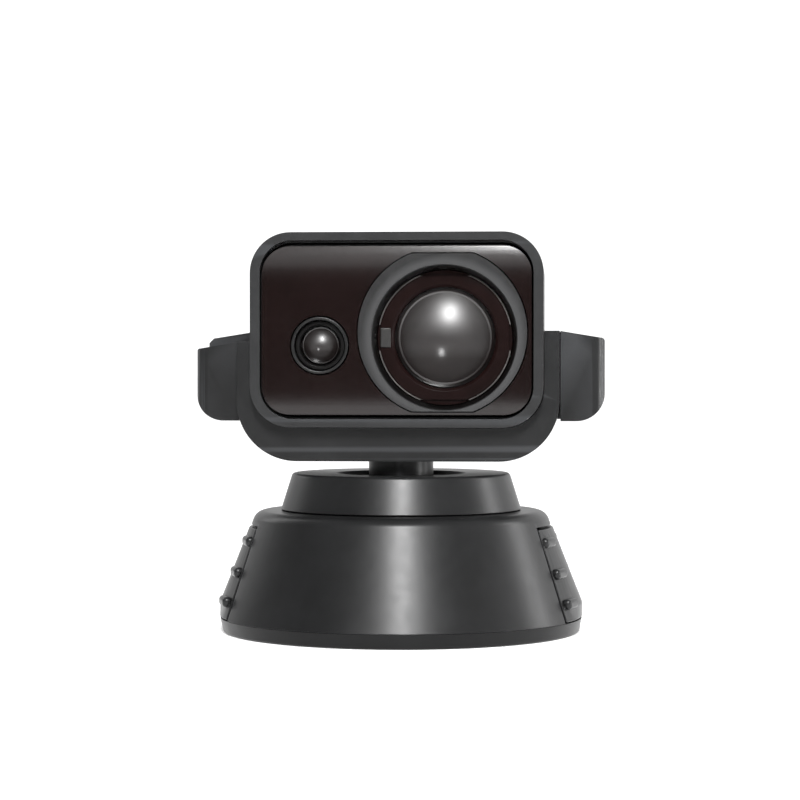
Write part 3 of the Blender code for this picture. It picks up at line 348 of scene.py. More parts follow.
def set_input(tree, place, value):
    """Gives a node's input a value, or links another node's socket to it."""
    if isinstance(value, bpy.types.NodeSocket):
        tree.links.new(value, place)
    elif place.type == "RGBA":
        place.default_value = (*value, 1)
    else:
        place.default_value = value


def add_node(tree, kind, inputs=None, **settings):
    """A new shader node with its settings, and its inputs by name or number."""
    node = tree.nodes.new("ShaderNode" + kind)
    for key, value in settings.items():
        setattr(node, key, value)
    for key, value in (inputs or {}).items():
        set_input(tree, node.inputs[key], value)
    return node


def map_range(tree, value, span, result, interpolation="LINEAR"):
    """A value scaled from one span to another, and held at both ends."""
    inputs = {"Value": value, "From Min": span[0], "From Max": span[1]}
    inputs |= {"To Min": result[0], "To Max": result[1]}
    return add_node(tree, "MapRange", inputs, interpolation_type=interpolation).outputs["Result"]


def calculated(tree, operation, *values):
    """The result of a Math node; each value is a socket or a number."""
    node = add_node(tree, "Math", dict(enumerate(values)), operation=operation)
    return node.outputs["Value"]


class Shader:
    """A Principled material with short calls for the nodes that shape its surface."""

    def __init__(self, name, roughness, **inputs):
        self.material = bpy.data.materials.new(name)
        self.material.use_nodes = True
        self.tree = self.material.node_tree
        self.coordinates = add_node(self.tree, "TexCoord").outputs["Object"]
        self.surface(Roughness=roughness, **inputs)

    def surface(self, **inputs):
        """Sets the surface's inputs; an underscore in a name stands for a space."""
        principled = self.tree.nodes["Principled BSDF"]
        for key, value in inputs.items():
            set_input(self.tree, principled.inputs[key.replace("_", " ")], value)

    def moved(self, offset=(0, 0, 0), stretch=(1, 1, 1)):
        place = {"Vector": self.coordinates, "Location": Vector(offset) * -MM, "Scale": stretch}
        return add_node(self.tree, "Mapping", place).outputs["Vector"]

    def noise(self, size, detail, vector=None):
        """Noise whose features are about size millimetres across."""
        inputs = {"Scale": 1 / (size * MM), "Detail": detail, "Roughness": 0.55}
        inputs["Vector"] = vector or self.coordinates
        return add_node(self.tree, "TexNoise", inputs).outputs["Fac"]

    def rings(self, pitch, vector, axis):
        """Fine turning marks about an axis."""
        inputs = {"Vector": vector, "Scale": 0.5 / (pitch * MM) / math.pi, "Distortion": 0.3}
        node = add_node(self.tree, "TexWave", inputs, wave_type="RINGS", rings_direction=axis)
        return node.outputs["Fac"]

    def level(self, value, low, high, start=0.0, end=1.0):
        """A value scaled from start..end to low..high, and held at both ends."""
        return map_range(self.tree, value, (start, end), (low, high))

    def ramp(self, value, start, end, dark, light):
        """A colour that goes from dark to light as a value goes from start to end."""
        share = self.level(value, 0.0, 1.0, start, end)
        mix = add_node(self.tree, "Mix", {"Factor": share}, data_type="RGBA")
        places = (place for place in mix.inputs if place.type == "RGBA")
        for place, colour in zip(places, (dark, light)):
            set_input(self.tree, place, colour)
        return next(place for place in mix.outputs if place.type == "RGBA")

    def bump(self, *layers):
        """Stacked bumps, each (height socket, depth in millimetres, strength)."""
        inputs = {}
        for height, depth, strength in layers:
            inputs |= {"Height": height, "Distance": depth * MM, "Strength": strength}
            inputs["Normal"] = add_node(self.tree, "Bump", inputs).outputs["Normal"]
        self.surface(Normal=inputs["Normal"])

    def part_along(self, axis):
        """The place's distance along X, Y or Z."""
        return add_node(self.tree, "SeparateXYZ", {"Vector": self.coordinates}).outputs[axis]

    def from_axis(self, vector, axis):
        """The distance from an axis through the origin."""
        across = [0 if key == axis else 1 for key in "XYZ"]
        flat = add_node(self.tree, "VectorMath", {0: vector, 1: across}, operation="MULTIPLY")
        flat = flat.outputs["Vector"]
        return add_node(self.tree, "VectorMath", {0: flat}, operation="LENGTH").outputs["Value"]

    def edges(self):
        """Higher where the surface is convex, so that edges can be told apart."""
        return add_node(self.tree, "NewGeometry").outputs["Pointiness"]


def moulded_plastic(name, dark, light, roughness, gloss=0.3):
    """Satin moulded plastic: fine eroded grain, slow mottling, convex edges painted lighter as a
    painted highlight.
    """
    s = Shader(name, roughness, Specular_IOR_Level=gloss)
    mottled = s.ramp(s.noise(6.0, 4), 0.35, 0.65, dark, light)
    # painted highlight: convex edges get a lighter colour, standing in for the light that edges catch
    s.surface(Base_Color=s.ramp(s.edges(), 0.53, 0.62, mottled, (0.03, 0.031, 0.033)))
    s.surface(Roughness=s.level(s.noise(1.4, 5), roughness - 0.05, roughness + 0.06))
    s.bump((s.noise(0.16, 2), 0.012, 0.22), (s.noise(2.5, 2), 0.03, 0.12))
    return s.material


def window_gloss():
    """Polished dark brown infrared window with faint orange peel."""
    s = Shader("window_gloss", 0.1, Specular_IOR_Level=0.38)
    dark, light = (0.0052, 0.0026, 0.0024), (0.007, 0.0036, 0.0034)
    s.surface(Base_Color=s.ramp(s.noise(5.0, 2), 0.3, 0.7, dark, light))
    s.surface(Roughness=s.level(s.noise(0.5, 4), 0.13, 0.2))
    s.bump((s.noise(3.0, 1), 0.02, 0.04))
    return s.material


def turned_barrel(name, dark, light, gloss=0.34, centre=None, bore=0.0):
    """Satin anodised ring with turning marks about its axis.

    A turned piece has its axis on its own Z. A piece made in place, with its axis along Y, needs
    the axis's centre. Inside the bore's radius the ring is painted near black as painted shade,
    and a lighter band just outside it is a painted highlight on the mouth.
    """
    s = Shader(name, 0.34, Specular_IOR_Level=gloss)
    axis, vector = ("Y", s.moved(centre)) if centre else ("Z", s.coordinates)
    mottled = s.ramp(s.noise(2.0, 4), 0.35, 0.65, dark, light)
    if bore:
        distance = s.from_axis(vector, axis)
        # painted shade and highlight: near black inside the bore radius, then a lighter band that
        # stands in for the lit mouth
        mouth, black = (0.036, 0.036, 0.037), (0.0016, 0.0014, 0.0014)
        mottled = s.ramp(distance, (bore + 0.5) * MM, (bore + 1.3) * MM, mouth, mottled)
        mottled = s.ramp(distance, bore * MM, (bore + 0.06) * MM, black, mottled)
    s.surface(Base_Color=mottled)
    s.surface(Roughness=s.level(s.noise(0.6, 3), 0.28, 0.4))
    s.bump((s.rings(0.09, vector, axis), 0.006, 0.35), (s.noise(0.12, 2), 0.006, 0.2))
    return s.material


def coated_lens(name, dome_radius):
    """Dark coated glass. The coat bends the other way, as the lens's rear face does.

    The bump's height grows with the square and the fourth power of the distance from the axis,
    which keeps the bend even right out to the rim. The lower half reflects less than the upper,
    which paints shade over the lens's lower half.
    """
    s = Shader(name, 0.36, Coat_Weight=0.28, Coat_Roughness=0.22, Coat_IOR=1.4)
    reach = dome_radius * MM
    # painted shade: the reflection is weakened towards the lower half of the lens
    shine = s.level(s.part_along("Y"), 0.22, 0.95, -0.25 * reach, 0.2 * reach)
    s.surface(Specular_IOR_Level=shine)
    dark, light = (0.0045, 0.0028, 0.0026), (0.0075, 0.005, 0.0047)
    s.surface(Base_Color=s.ramp(s.noise(3.5, 2), 0.3, 0.7, dark, light))
    s.surface(Roughness=s.level(s.noise(2.2, 2), 0.35, 0.4))
    distance = s.from_axis(s.coordinates, "Z")
    square = calculated(s.tree, "MULTIPLY", distance, distance)
    growth = calculated(s.tree, "MULTIPLY_ADD", square, 2.27 / reach**2, 1.0)
    height = calculated(s.tree, "MULTIPLY", square, growth)
    dish = add_node(s.tree, "Bump", {"Height": height, "Distance": 1.375 / reach})
    s.surface(Coat_Normal=dish.outputs["Normal"])
    return s.material


def metal(name, dark, light, roughness, stretch=(1, 1, 1)):
    """Ground or drawn metal with fine directional marks."""
    s = Shader(name, roughness, Metallic=1.0)
    vector = s.moved(stretch=stretch)
    s.surface(Base_Color=s.ramp(s.noise(0.5, 5, vector), 0.3, 0.7, dark, light))
    s.surface(Roughness=s.level(s.noise(0.15, 3, vector), roughness - 0.08, roughness + 0.12))
    s.bump((s.noise(0.12, 2, vector), 0.006, 0.25))
    return s.material


def plain_moulding(name, dark, light, roughness):
    """Small moulded pieces: even colour with fine grain and flow marks."""
    s = Shader(name, roughness)
    s.surface(Base_Color=s.ramp(s.noise(1.5, 4), 0.3, 0.7, dark, light))
    s.surface(Roughness=s.level(s.noise(0.5, 3), roughness - 0.06, roughness + 0.08))
    s.bump((s.noise(0.14, 2), 0.008, 0.25))
    return s.material


def circuit_board(name, chip_axis, chip_from):
    """Green solder mask over copper tracks; the chips stand above the board along one axis."""
    s = Shader(name, 0.4, Coat_Weight=0.3)
    lies_flat = chip_axis == "Z"
    copper, chip = (0.75, 0.6, 0.3), (0.014, 0.014, 0.015)
    turn = {"Vector": s.coordinates, "Rotation": (0, 0, 0) if lies_flat else FACING_FRONT}
    place = add_node(s.tree, "Mapping", turn).outputs["Vector"]
    bricks = {"Vector": place, "Scale": 1 / (2.2 * MM), "Mortar Size": 0.035}
    bricks |= {"Color1": (0.012, 0.085, 0.045), "Color2": (0.015, 0.1, 0.05)}
    track = add_node(s.tree, "TexBrick", bricks | {"Mortar": (0.03, 0.2, 0.1)})
    spots = add_node(s.tree, "TexVoronoi", {"Vector": place, "Scale": 1 / (1.3 * MM)})
    pads = s.ramp(spots.outputs["Distance"], 0.13, 0.15, copper, track.outputs["Color"])
    edge, step = chip_from * MM, TINY if lies_flat else -TINY
    s.surface(Base_Color=s.ramp(s.part_along(chip_axis), edge - step, edge + step, pads, chip))
    s.bump((track.outputs["Fac"], 0.02, 0.3), (s.noise(0.3, 2), 0.005, 0.2))
    return s.material


def floor_paint():
    """Pale matt paint, lit a little more towards the back so that it meets the white surround."""
    s = Shader("floor_paint", 0.8, Emission_Color=(1, 1, 1))
    s.surface(Base_Color=s.ramp(s.noise(30, 3), 0.3, 0.7, (0.9, 0.9, 0.9), (0.94, 0.94, 0.94)))
    s.surface(Emission_Strength=s.level(s.part_along("Y"), 0.3, 0.45, 80 * MM, 600 * MM))
    return s.material


def make_materials():
    """All finishes; most take a darker and a lighter colour between which they are mottled."""
    anodised = ((0.01, 0.01, 0.0103), (0.015, 0.015, 0.0154))
    satin = ((0.006, 0.0061, 0.0064), (0.0085, 0.0087, 0.0091))
    chips_from = low_high("base_board")[0].z + 1.0
    processor_from = low_high("processor_board")[1].y - 0.95
    nowhere = -99.0  # the sensor board's own chip is a CAD node
    return {
        "housing": moulded_plastic("satin_housing", *satin, 0.33),
        "bezel": moulded_plastic(
            "satin_bezel", (0.016, 0.0162, 0.0167), (0.021, 0.0212, 0.0218), 0.3
        ),
        "ring": moulded_plastic(
            "satin_ring", (0.004, 0.004, 0.0042), (0.006, 0.0061, 0.0064), 0.34, 0.19
        ),
        "latch": moulded_plastic("satin_latch", *satin, 0.32),
        "groove": moulded_plastic("inner_shell", (0.02, 0.02, 0.02), (0.028, 0.028, 0.029), 0.5),
        "window": window_gloss(),
        "barrel": turned_barrel(
            "receiver_ring", *anodised, centre=axis_of("receiver_lens"), bore=PAINTED_SHADE_RADIUS
        ),
        "emitter_barrel": turned_barrel(
            "emitter_ring", (0.005, 0.005, 0.005), (0.008, 0.008, 0.008), 0.25
        ),
        "retainer": turned_barrel(
            "retainer_ring", (0.0055, 0.0022, 0.002), (0.0075, 0.0032, 0.003), 0.06
        ),
        "emitter_retainer": turned_barrel(
            "emitter_retainer_ring", (0.002, 0.0018, 0.0018), (0.004, 0.0035, 0.0035), 0.15
        ),
        "lens": coated_lens("receiver_glass", 10.3),
        "emitter_lens": coated_lens("emitter_glass", 2.7),
        "black": plain_moulding("black_moulding", (0.006, 0.006, 0.006), (0.012, 0.012, 0.012), 0.4),
        # painted highlight: a light colour for the thin ring at the retainer's edge
        "edge": turned_barrel("retainer_painted_highlight_ring", (0.055, 0.051, 0.049), (0.09, 0.084, 0.08)),
        "tab": plain_moulding("locating_tab", (0.004, 0.0036, 0.0032), (0.008, 0.007, 0.0063), 0.4),
        "steel": metal("ground_steel", (0.42, 0.42, 0.43), (0.6, 0.6, 0.61), 0.24, (1, 1, 0.15)),
        "dark_screw": metal("blackened_screw", (0.05, 0.05, 0.052), (0.09, 0.09, 0.093), 0.34),
        "brass": metal("machined_brass", (0.55, 0.4, 0.16), (0.75, 0.57, 0.26), 0.26, (1, 1, 0.2)),
        "nylon": plain_moulding("natural_nylon", (0.68, 0.67, 0.6), (0.78, 0.77, 0.72), 0.42),
        "base_board": circuit_board("base_board_mask", "Z", chips_from),
        "sensor_board": circuit_board("sensor_board_mask", "Y", nowhere),
        "processor_board": circuit_board("processor_board_mask", "Y", processor_from),
        "cable": plain_moulding("cable_jacket", (0.012, 0.012, 0.012), (0.022, 0.022, 0.022), 0.55),
    }


# ---------------------------------------------------------------- base


def cone_radius(z, rim):
    """The cone's radius at a height; it is upright below the rim's top."""
    return rim - CONE_SLOPE * max(0, z - RIM_TOP_Z)


def make_bottom_ring(m):
    """The ring at the foot; its inner lip stands up inside the shell, clear of the latches."""
    high = low_high("bottom_ring")[1]
    rim, foot = high.y, high.y - RING_FOOT_INSET
    top = low_high("base_shell")[0].z - RING_TOP_DROP
    lip, inner = RING_LIP, RING_INNER
    points = [(lip, high.z), (lip, top), (rim, top), (foot, 0), (inner, 0), (inner, high.z)]
    ring = turned("bottom_ring_skin", fillet(points, [0.15, 0.0, 0.03, 0.4, 0.25, 0.15], 5))
    for side, label in SIDES:
        gap = sector(f"lip_gap_{label}", side, LIP_GAP_HALF_ANGLE, top, high.z + 1)
        combine(ring, "DIFFERENCE", gap)
    finish_piece(ring, "base", m["ring"], ["bottom_ring"])


def make_base_shell(m):
    """The conical shell, with its screw bosses and the two windows for the latches."""
    low, high = low_high("base_shell")
    rim, skirt = low_high("bottom_ring")[1].y, low.z - RING_TOP_DROP + SEAM
    points = [
        (SHELL_OPENING, high.z),
        (cone_radius(high.z, rim), high.z),
        (rim, skirt),
        (rim - SHELL_WALL, skirt),
        (rim - SHELL_WALL, RIM_TOP_Z),
        (cone_radius(SHELL_CEILING_Z, rim) - SHELL_WALL, SHELL_CEILING_Z),
        (SHELL_OPENING, SHELL_CEILING_Z),
    ]
    radii = [0.1, SHOULDER_FILLET, 0.05, 0.1, 0.0, 0.4, 0.1]
    shell = turned("base_shell_skin", fillet(points, radii, 8))
    foot = low_high("floor_plate")[0].z + 1.3
    for number in ONE_TO_FOUR:
        x, y, _ = middle_of(f"base_screw_{number}")
        boss = rod(f"boss_{number}", (x, y, foot), (x, y, BOSS_TOP_Z), BOSS_RADIUS)
        combine(shell, "UNION", boss)
        hole_top = (x, y, BOSS_THREAD_TOP_Z)
        hole = rod(f"boss_hole_{number}", (x, y, 0), hole_top, BOSS_THREAD, SMALL_HOLE)
        combine(shell, "DIFFERENCE", hole)
    window_top = low_high("latch_right")[1].z + LATCH_TOP_GAP
    for side, label in SIDES:
        window = sector(f"window_{label}", side, WINDOW_HALF_ANGLE, 1.0, window_top)
        combine(shell, "DIFFERENCE", window)
    finish_piece(shell, "base", m["housing"], ["base_shell"], 0.1)


def blend_into_shell(latch, rim):
    """Draws a latch's outer wall in to the shell's straight cone towards its front and rear."""
    foot_z, top_z = (corner.z for corner in low_high("base_shell"))
    slope = (rim - cone_radius(top_z, rim)) / (top_z - foot_z)
    for vertex in latch.data.vertices:
        x, y, z = vertex.co / MM
        radius = math.hypot(x, y)
        if radius < cone_radius(z, rim) - LATCH_WALL / 2:
            continue
        shell = rim - slope * max(0, z - foot_z)
        share = min(1, math.degrees(math.atan2(abs(y), abs(x))) / LATCH_HALF_ANGLE) ** 2
        drawn = radius - share * (cone_radius(z, rim) - shell)
        vertex.co.x *= drawn / radius
        vertex.co.y *= drawn / radius


def make_latch(m, side, label):
    """A rocker with softly rounded grip bars; it rides on its own latch body."""
    node = f"latch_{label}"
    high_z = low_high(node)[1].z
    rim = low_high("bottom_ring")[1].y + PAD_PROUD
    bottom, top = low_high("base_shell")[0].z, high_z + 1
    points = [
        (cone_radius(top, rim), top),
        (rim, RIM_TOP_Z),
        (rim, bottom - 1),
        (rim - LATCH_WALL, bottom - 1),
        (rim - LATCH_WALL, RIM_TOP_Z),
        (cone_radius(top, rim) - LATCH_WALL, top),
    ]
    latch = turned(f"latch_skin_{label}", fillet(points, [0, 0.9, 0, 0, 0.5, 0], 6))
    combine(latch, "INTERSECT", sector(f"field_{label}", side, LATCH_HALF_ANGLE, bottom, high_z))
    blend_into_shell(latch, rim)
    soften(latch, 0.12, 4)
    bake_modifiers(latch)
    x, _, z = middle_of(f"latch_pin_{label}")
    half, beyond = KNUCKLE_HALF, KNUCKLE_HALF + 0.7
    knuckle = rod(f"knuckle_{label}", (x, -half, z), (x, half, z), KNUCKLE_RADIUS)
    limbs, bars = latch_limbs(side, label, abs(x), z), grip_bars(side, label, rim - PAD_PROUD)
    combine(latch, "UNION", knuckle, *limbs, *bars)
    pin = rod(f"pin_hole_{label}", (x, -beyond, z), (x, beyond, z), 0.5, SMALL_HOLE)
    combine(latch, "DIFFERENCE", pin)
    finish_piece(latch, node, m["latch"], [node])


def latch_limbs(side, label, x, z):
    """The arm from the pin out to the pad, the leg down from the pin, and the hook at its foot."""
    foot = LEG_FOOT_Z
    spans = (
        ((x, -KNUCKLE_HALF, z - 0.7), (20.6, KNUCKLE_HALF, z + 0.7)),
        ((x - 0.6, -LEG_HALF, foot), (x + 0.6, LEG_HALF, z)),
        ((x - 1.6, -LEG_HALF, foot), (x + 0.3, LEG_HALF, foot + 1.3)),
    )
    limbs = []
    for number, (near, far) in enumerate(spans):
        xs = sorted((side * near[0], side * far[0]))
        low, high = (xs[0], *near[1:]), (xs[1], *far[1:])
        limbs.append(block(f"limb_{label}_{number}", low, high, 0.12))
    return limbs


def grip_bars(side, label, rim):
    """Two columns of bars, each bar square to the pad where it stands."""
    bars = []
    for row, bar_z in enumerate(BAR_HEIGHTS):
        reach = cone_radius(bar_z, rim) + BAR_PROUD
        for column, angle in enumerate(BAR_ANGLES):
            near = (reach - BAR_DEPTH, -BAR_WIDTH / 2, bar_z - BAR_HEIGHT / 2)
            far = (reach, BAR_WIDTH / 2, bar_z + BAR_HEIGHT / 2)
            bar = block(f"bar_{label}_{row}_{column}", near, far, 0.5)
            bar.rotation_euler = (0, 0, math.radians(angle + (180 if side < 0 else 0)))
            bars.append(bar)
    return bars


def make_collar(m):
    """The collar over the bearing, dished on top round the stem."""
    low, high = low_high("collar_cover")
    foot_z = low_high("base_shell")[1].z + 0.1
    foot, plug = high.y, SHELL_OPENING - 0.2
    top = foot - COLLAR_SLOPE * (high.z - foot_z)
    points = [
        (COLLAR_BORE, COLLAR_DISH_Z),
        (COLLAR_DISH, COLLAR_DISH_Z),
        (COLLAR_DISH + 0.55, high.z - 0.04),
        (top, high.z),
        (foot, foot_z),
        (plug, foot_z),
        (plug, low.z),
        (BEARING_SEAT, low.z),
        (BEARING_SEAT, BEARING_TOP_Z),
        (COLLAR_BORE, BEARING_TOP_Z),
    ]
    radii = [0.15, 0.12, 0.2, 0.5, 0.1, 0.0, 0.1, 0.1, 0.1, 0.15]
    collar = turned("collar_skin", fillet(points, radii, 6))
    finish_piece(collar, "base", m["housing"], ["collar_cover"])


# ---------------------------------------------------------------- head


def make_bezel(m):
    low, high = low_high("front_bezel")
    outer = rounded_rectangle((low.x, low.z), (high.x, high.z), BEZEL_CORNER)
    near, far = (-BEZEL_OPENING_HALF, low.z + 1.05), (BEZEL_OPENING_HALF, high.z - 1.0)
    opening = rounded_rectangle(near, far, BEZEL_OPENING_CORNER)
    bezel = slab("front_bezel_skin", [outer, opening], low.y, high.y)
    finish_piece(bezel, "head", m["bezel"], ["front_bezel"], 0.42, segments=5)


def case_outline(inset=0.0):
    low, high = low_high("lidar_case")
    near, far = (low.x + inset, low.z + inset), (high.x - inset, high.z - inset)
    return rounded_rectangle(near, far, CASE_CORNER - CASE_INSET - inset)


def make_case(m):
    """The case's open box with a boss for each rear screw, and its rear cover."""
    low, high = low_high("lidar_case")
    case = slab("lidar_case_skin", [case_outline(), case_outline(CASE_WALL)], low.y, high.y)
    places = [middle_of(f"case_screw_{number}") for number in ONE_TO_FOUR]
    for number, (x, _, z) in enumerate(places):
        boss = rod(f"case_boss_{number}", (x, 0.2, z), (x, high.y, z), CASE_BOSS_RADIUS)
        xs = sorted((x, math.copysign(CASE_SIDE, x)))
        web = block(f"case_web_{number}", (xs[0], 0.4, z - 0.8), (xs[1], high.y - 0.2, z + 0.8))
        combine(case, "UNION", boss, web)
        thread_ends = (x, 1.8, z), (x, 9, z)
        thread = rod(f"case_thread_{number}", *thread_ends, THREAD_RADIUS, SMALL_HOLE)
        combine(case, "DIFFERENCE", thread)
    combine(case, "DIFFERENCE", rod("harness_hole", (0, 0, 20), (0, 0, 30), HARNESS_HOLE))
    finish_piece(case, "head", m["housing"], ["lidar_case"], 0.12)
    low, high = low_high("case_rear_cover")
    holes = [circle(THREAD_RADIUS + 0.05, (x, z), 32) for x, _, z in places]
    cover = slab("case_cover_skin", [case_outline(), *holes], low.y, high.y)
    finish_piece(cover, "head", m["housing"], ["case_rear_cover"], 0.3)


def make_cradle(m):
    """The U that holds the case, with the stem's seat in its floor."""
    low, high = low_high("cradle")
    left_top = low_high("pod_left")[1].z
    floor = low.z + CRADLE_FLOOR_RISE
    points = [
        (low.x, left_top),
        (low.x, low.z),
        (high.x, low.z),
        (high.x, high.z),
        (CRADLE_INNER_HALF, high.z),
        (CRADLE_INNER_HALF, floor),
        (-CRADLE_INNER_HALF, floor),
        (-CRADLE_INNER_HALF, left_top),
    ]
    radii = [0, CRADLE_CORNER, CRADLE_CORNER, 0, 0, CASE_CORNER, CASE_CORNER, 0]
    cradle = slab("cradle_skin", [fillet(points, radii, 24)], low.y, high.y)
    soften(cradle, 0.32, 4)
    bake_modifiers(cradle)
    flange = low_high("pan_stem")[1]
    under, seat, above = (0, 0, low.z - 1), (0, 0, flange.z - 1.0), (0, 0, floor + 1)
    cuts = [
        rod("stem_bore", under, above, STEM_BORE, 96),
        rod("flange_seat", seat, above, flange.x + 0.15, 96),
    ]
    for number in STEM_SCREWS:
        x, y, _ = middle_of(f"stem_screw_{number}")
        thread_ends = (x, y, 21.9), (x, y, 25)
        cuts.append(rod(f"cradle_thread_{number}", *thread_ends, 0.38, SMALL_HOLE))
    combine(cradle, "DIFFERENCE", *cuts)
    finish_piece(cradle, "head", m["housing"], ["cradle"])
    for face in cradle.data.polygons:
        face.use_smooth = abs(face.normal.y) < FACES_FRONT_OR_REAR


def make_pod(m, side, label):
    """A side pod: softly rounded outside, hollow behind, with its screw's post."""
    node = f"pod_{label}"
    low, high = low_high(node)
    inner, outer = sorted((abs(low.x), abs(high.x)))
    shoulder = high.z - POD_TOP_DROP
    face = [(inner, high.z), (inner, low.z), (outer, low.z)]
    face += [(outer, shoulder), (outer - 0.6, shoulder)]
    face = [(side * x, z) for x, z in fillet(face, [0, 0, POD_CORNER, 0.5, 0], 20)]
    pod = slab(f"pod_skin_{label}", [face], low.y, high.y)
    plan = [(inner, high.y), (inner, low.y), (outer, low.y), (outer, high.y)]
    plan = [(side * x, y) for x, y in fillet(plan, [0, 0, POD_FRONT_CORNER, 0], 16)]
    combine(pod, "INTERSECT", slab(f"pod_plan_{label}", [plan], low.z - 1, high.z + 1, "XY"))
    xs = sorted((side * (inner + POD_WALL), side * (outer - POD_WALL)))
    x, _, z = middle_of(f"housing_screw_{label}")
    spans = ((low.z + 2.4, z - POST_HALF), (z + POST_HALF, shoulder - POD_WALL))
    cuts = []
    for number, (z0, z1) in enumerate(spans):
        corners = ((xs[0], low.y + POD_WALL, z0), (xs[1], high.y + 1, z1))
        cuts.append(block(f"pod_cavity_{label}_{number}", *corners))
    cuts.append(rod(f"pod_thread_{label}", (x, 3, z), (x, 12, z), THREAD_RADIUS, SMALL_HOLE))
    combine(pod, "DIFFERENCE", *cuts)
    finish_piece(pod, "head", m["housing"], [node], 0.3)


def make_window(m):
    """The window is flat across its middle and rolls back softly at its top, less at its foot."""
    low, high = low_high("window_panel")
    outline = rounded_rectangle((low.x, low.z), (high.x, high.z), WINDOW_CORNER)
    middle, half = (low.z + high.z) / 2, (high.z - low.z) / 2
    steps = 64
    heights = [low.z - 0.5 + (2 * half + 1) * i / steps for i in range(steps + 1)]
    front = []  # the front face in side view
    for z in heights:
        crown, power = (0.6, 4) if z > middle else (0.17, 8)
        front.append((low.y + crown * (abs(z - middle) / half) ** power, z))
    side = front + [(high.y, high.z + 0.5), (high.y, low.z - 0.5)]
    panel = slab("window_skin", [side], low.x - 0.5, high.x + 0.5, "YZ")
    combine(panel, "INTERSECT", slab("window_outline", [outline], low.y - 1, high.y + 1))
    x, _, z = axis_of("emitter_barrel")
    radius = low_high("emitter_barrel")[1].x - x + WINDOW_CLEARANCE
    holes = [ring_outline(WINDOW_CLEARANCE), circle(radius, (x, z), 64)]
    for number, hole in enumerate(holes):
        combine(panel, "DIFFERENCE", slab(f"window_hole_{number}", [hole], low.y - 1, high.y + 1))
    finish_piece(panel, "head", m["window"], ["window_panel"], 0.1)


def ring_outline(clearance=0.0):
    """The receiver ring from the front: a circle with a flat at its top and at its bottom."""
    low, high = low_high("receiver_barrel")
    centre = ((low.x + high.x) / 2, (low.z + high.z) / 2)
    radius = (high.x - low.x) / 2 + clearance
    flat = (high.z - low.z) / 2 + clearance
    limit = math.degrees(math.asin(flat / radius))
    right = arc(centre, radius, -limit, limit, 48)
    return right + arc(centre, radius, 180 - limit, 180 + limit, 48)


def make_receiver(m):
    """The receiver's ring with its mouth widened in front, then its retainer and lens."""
    low, high = low_high("receiver_barrel")
    x, _, z = axis_of("receiver_lens")
    bore = RECEIVER_BORE
    ring = slab("receiver_ring_skin", [ring_outline(), circle(bore, (x, z), 128)], low.y, high.y)
    mouth = [(0, 9.0), (bore + 0.6, 9.0), (bore + 0.6, 8.2), (bore + 0.4, 7.9), (bore, 7.2), (0, 7.2)]
    combine(ring, "DIFFERENCE", turned("funnel", mouth, (x, 0, z), FACING_FRONT, 128))
    finish_piece(ring, "head", m["barrel"], ["receiver_barrel"], 0.4)
    make_retainer(m)
    make_lens("receiver_lens", m["lens"], radius=6.1, sag=2.0)


def make_retainer(m):
    """The threaded ring round the lens with its spanner slots, a light edge ring that is a painted
    highlight, and locating tab.
    """
    low, high = low_high("receiver_retainer")
    x, _, z = axis_of("receiver_retainer")
    front, rear, outer, inner = -low.y, -high.y, high.x - x, RETAINER_INNER
    step, ledge = front - 0.24, front - 0.3
    points = [(outer - 0.23, front), (outer - 0.17, front - 0.2), (outer, step), (outer, rear)]
    points += [(inner, rear), (inner, ledge), (inner + 0.35, front)]
    radii = [0.05, 0.03, 0.03, 0.0, 0.0, 0.08, 0.1]
    ring = turned("retainer_skin", fillet(points, radii, 4), (x, 0, z), FACING_FRONT, 128)
    # the thin edge ring below is coloured light, a painted highlight along the retainer's edge
    shine = front + 0.06  # the edge's front
    line = [(8.2, shine), (8.2, ledge), (8.07, ledge), (8.07, shine)]
    edge = turned("retainer_painted_highlight", line, (x, 0, z), FACING_FRONT, 128)
    slots = []
    for number, (along_x, along_z) in enumerate(((1, 0), (-1, 0), (0, 1), (0, -1))):
        half_x, half_z = (0.5, 1.6) if along_x else (3.0, 0.75)
        cx, cz = x + SLOT_RADIUS * along_x, z + SLOT_RADIUS * along_z
        near, far = (cx - half_x, low.y - 0.6, cz - half_z), (cx + half_x, -ledge, cz + half_z)
        slots.append(block(f"slot_{number}", near, far))
    combine(ring, "DIFFERENCE", *slots, keep_tools=True)
    combine(edge, "DIFFERENCE", *slots)
    finish_piece(ring, "head", m["retainer"], ["receiver_retainer"], 0.04)
    edge.data.materials.append(m["edge"])
    soften(edge, 0)
    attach(edge, "head")
    near, far = (x - 7.9, low.y - 0.15, z - 1.2), (x - 6.6, low.y + 0.55, z + 1.2)
    tab = block("locating_tab", near, far, 0.12)
    tab.data.materials.append(m["tab"])
    soften(tab, 0)
    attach(tab, "head")


def make_lens(node, material, radius, sag):
    """A dome with a fine step near its rim, which meets its flat flange in a ground chamfer.

    Its sag is how far the dome's edge lies behind its apex.
    """
    low, high = low_high(node)
    x, _, z = axis_of(node)
    apex, edge, back, rim_radius = -low.y, -low.y - sag, -high.y, high.x - x
    sphere = (radius**2 + sag**2) / (2 * sag)
    steps, step_in, step_out = 28, 0.9 * radius, 0.935 * radius
    dome = []
    for i in range(steps + 1):
        r = step_in * math.sin(math.pi / 2 * i / steps)
        dome.append((r, apex - sphere + math.sqrt(sphere**2 - r**2)))
    rise = dome[-1][1] + 0.2 * (step_out - step_in) - edge
    for i in range(7):
        across = i / 6
        r = step_out + (radius - step_out) * across
        dome.append((r, edge + rise * (1 - across) ** 0.8))
    chamfer, flange = radius + 0.06, edge - 0.3
    profile = [*dome, (chamfer, edge - 0.1), (chamfer, flange)]
    profile += [(rim_radius, flange), (rim_radius, back), (0, back)]
    lens = turned(node + "_skin", profile, (x, 0, z), FACING_FRONT, 128)
    finish_piece(lens, "head", material, [node], 0)


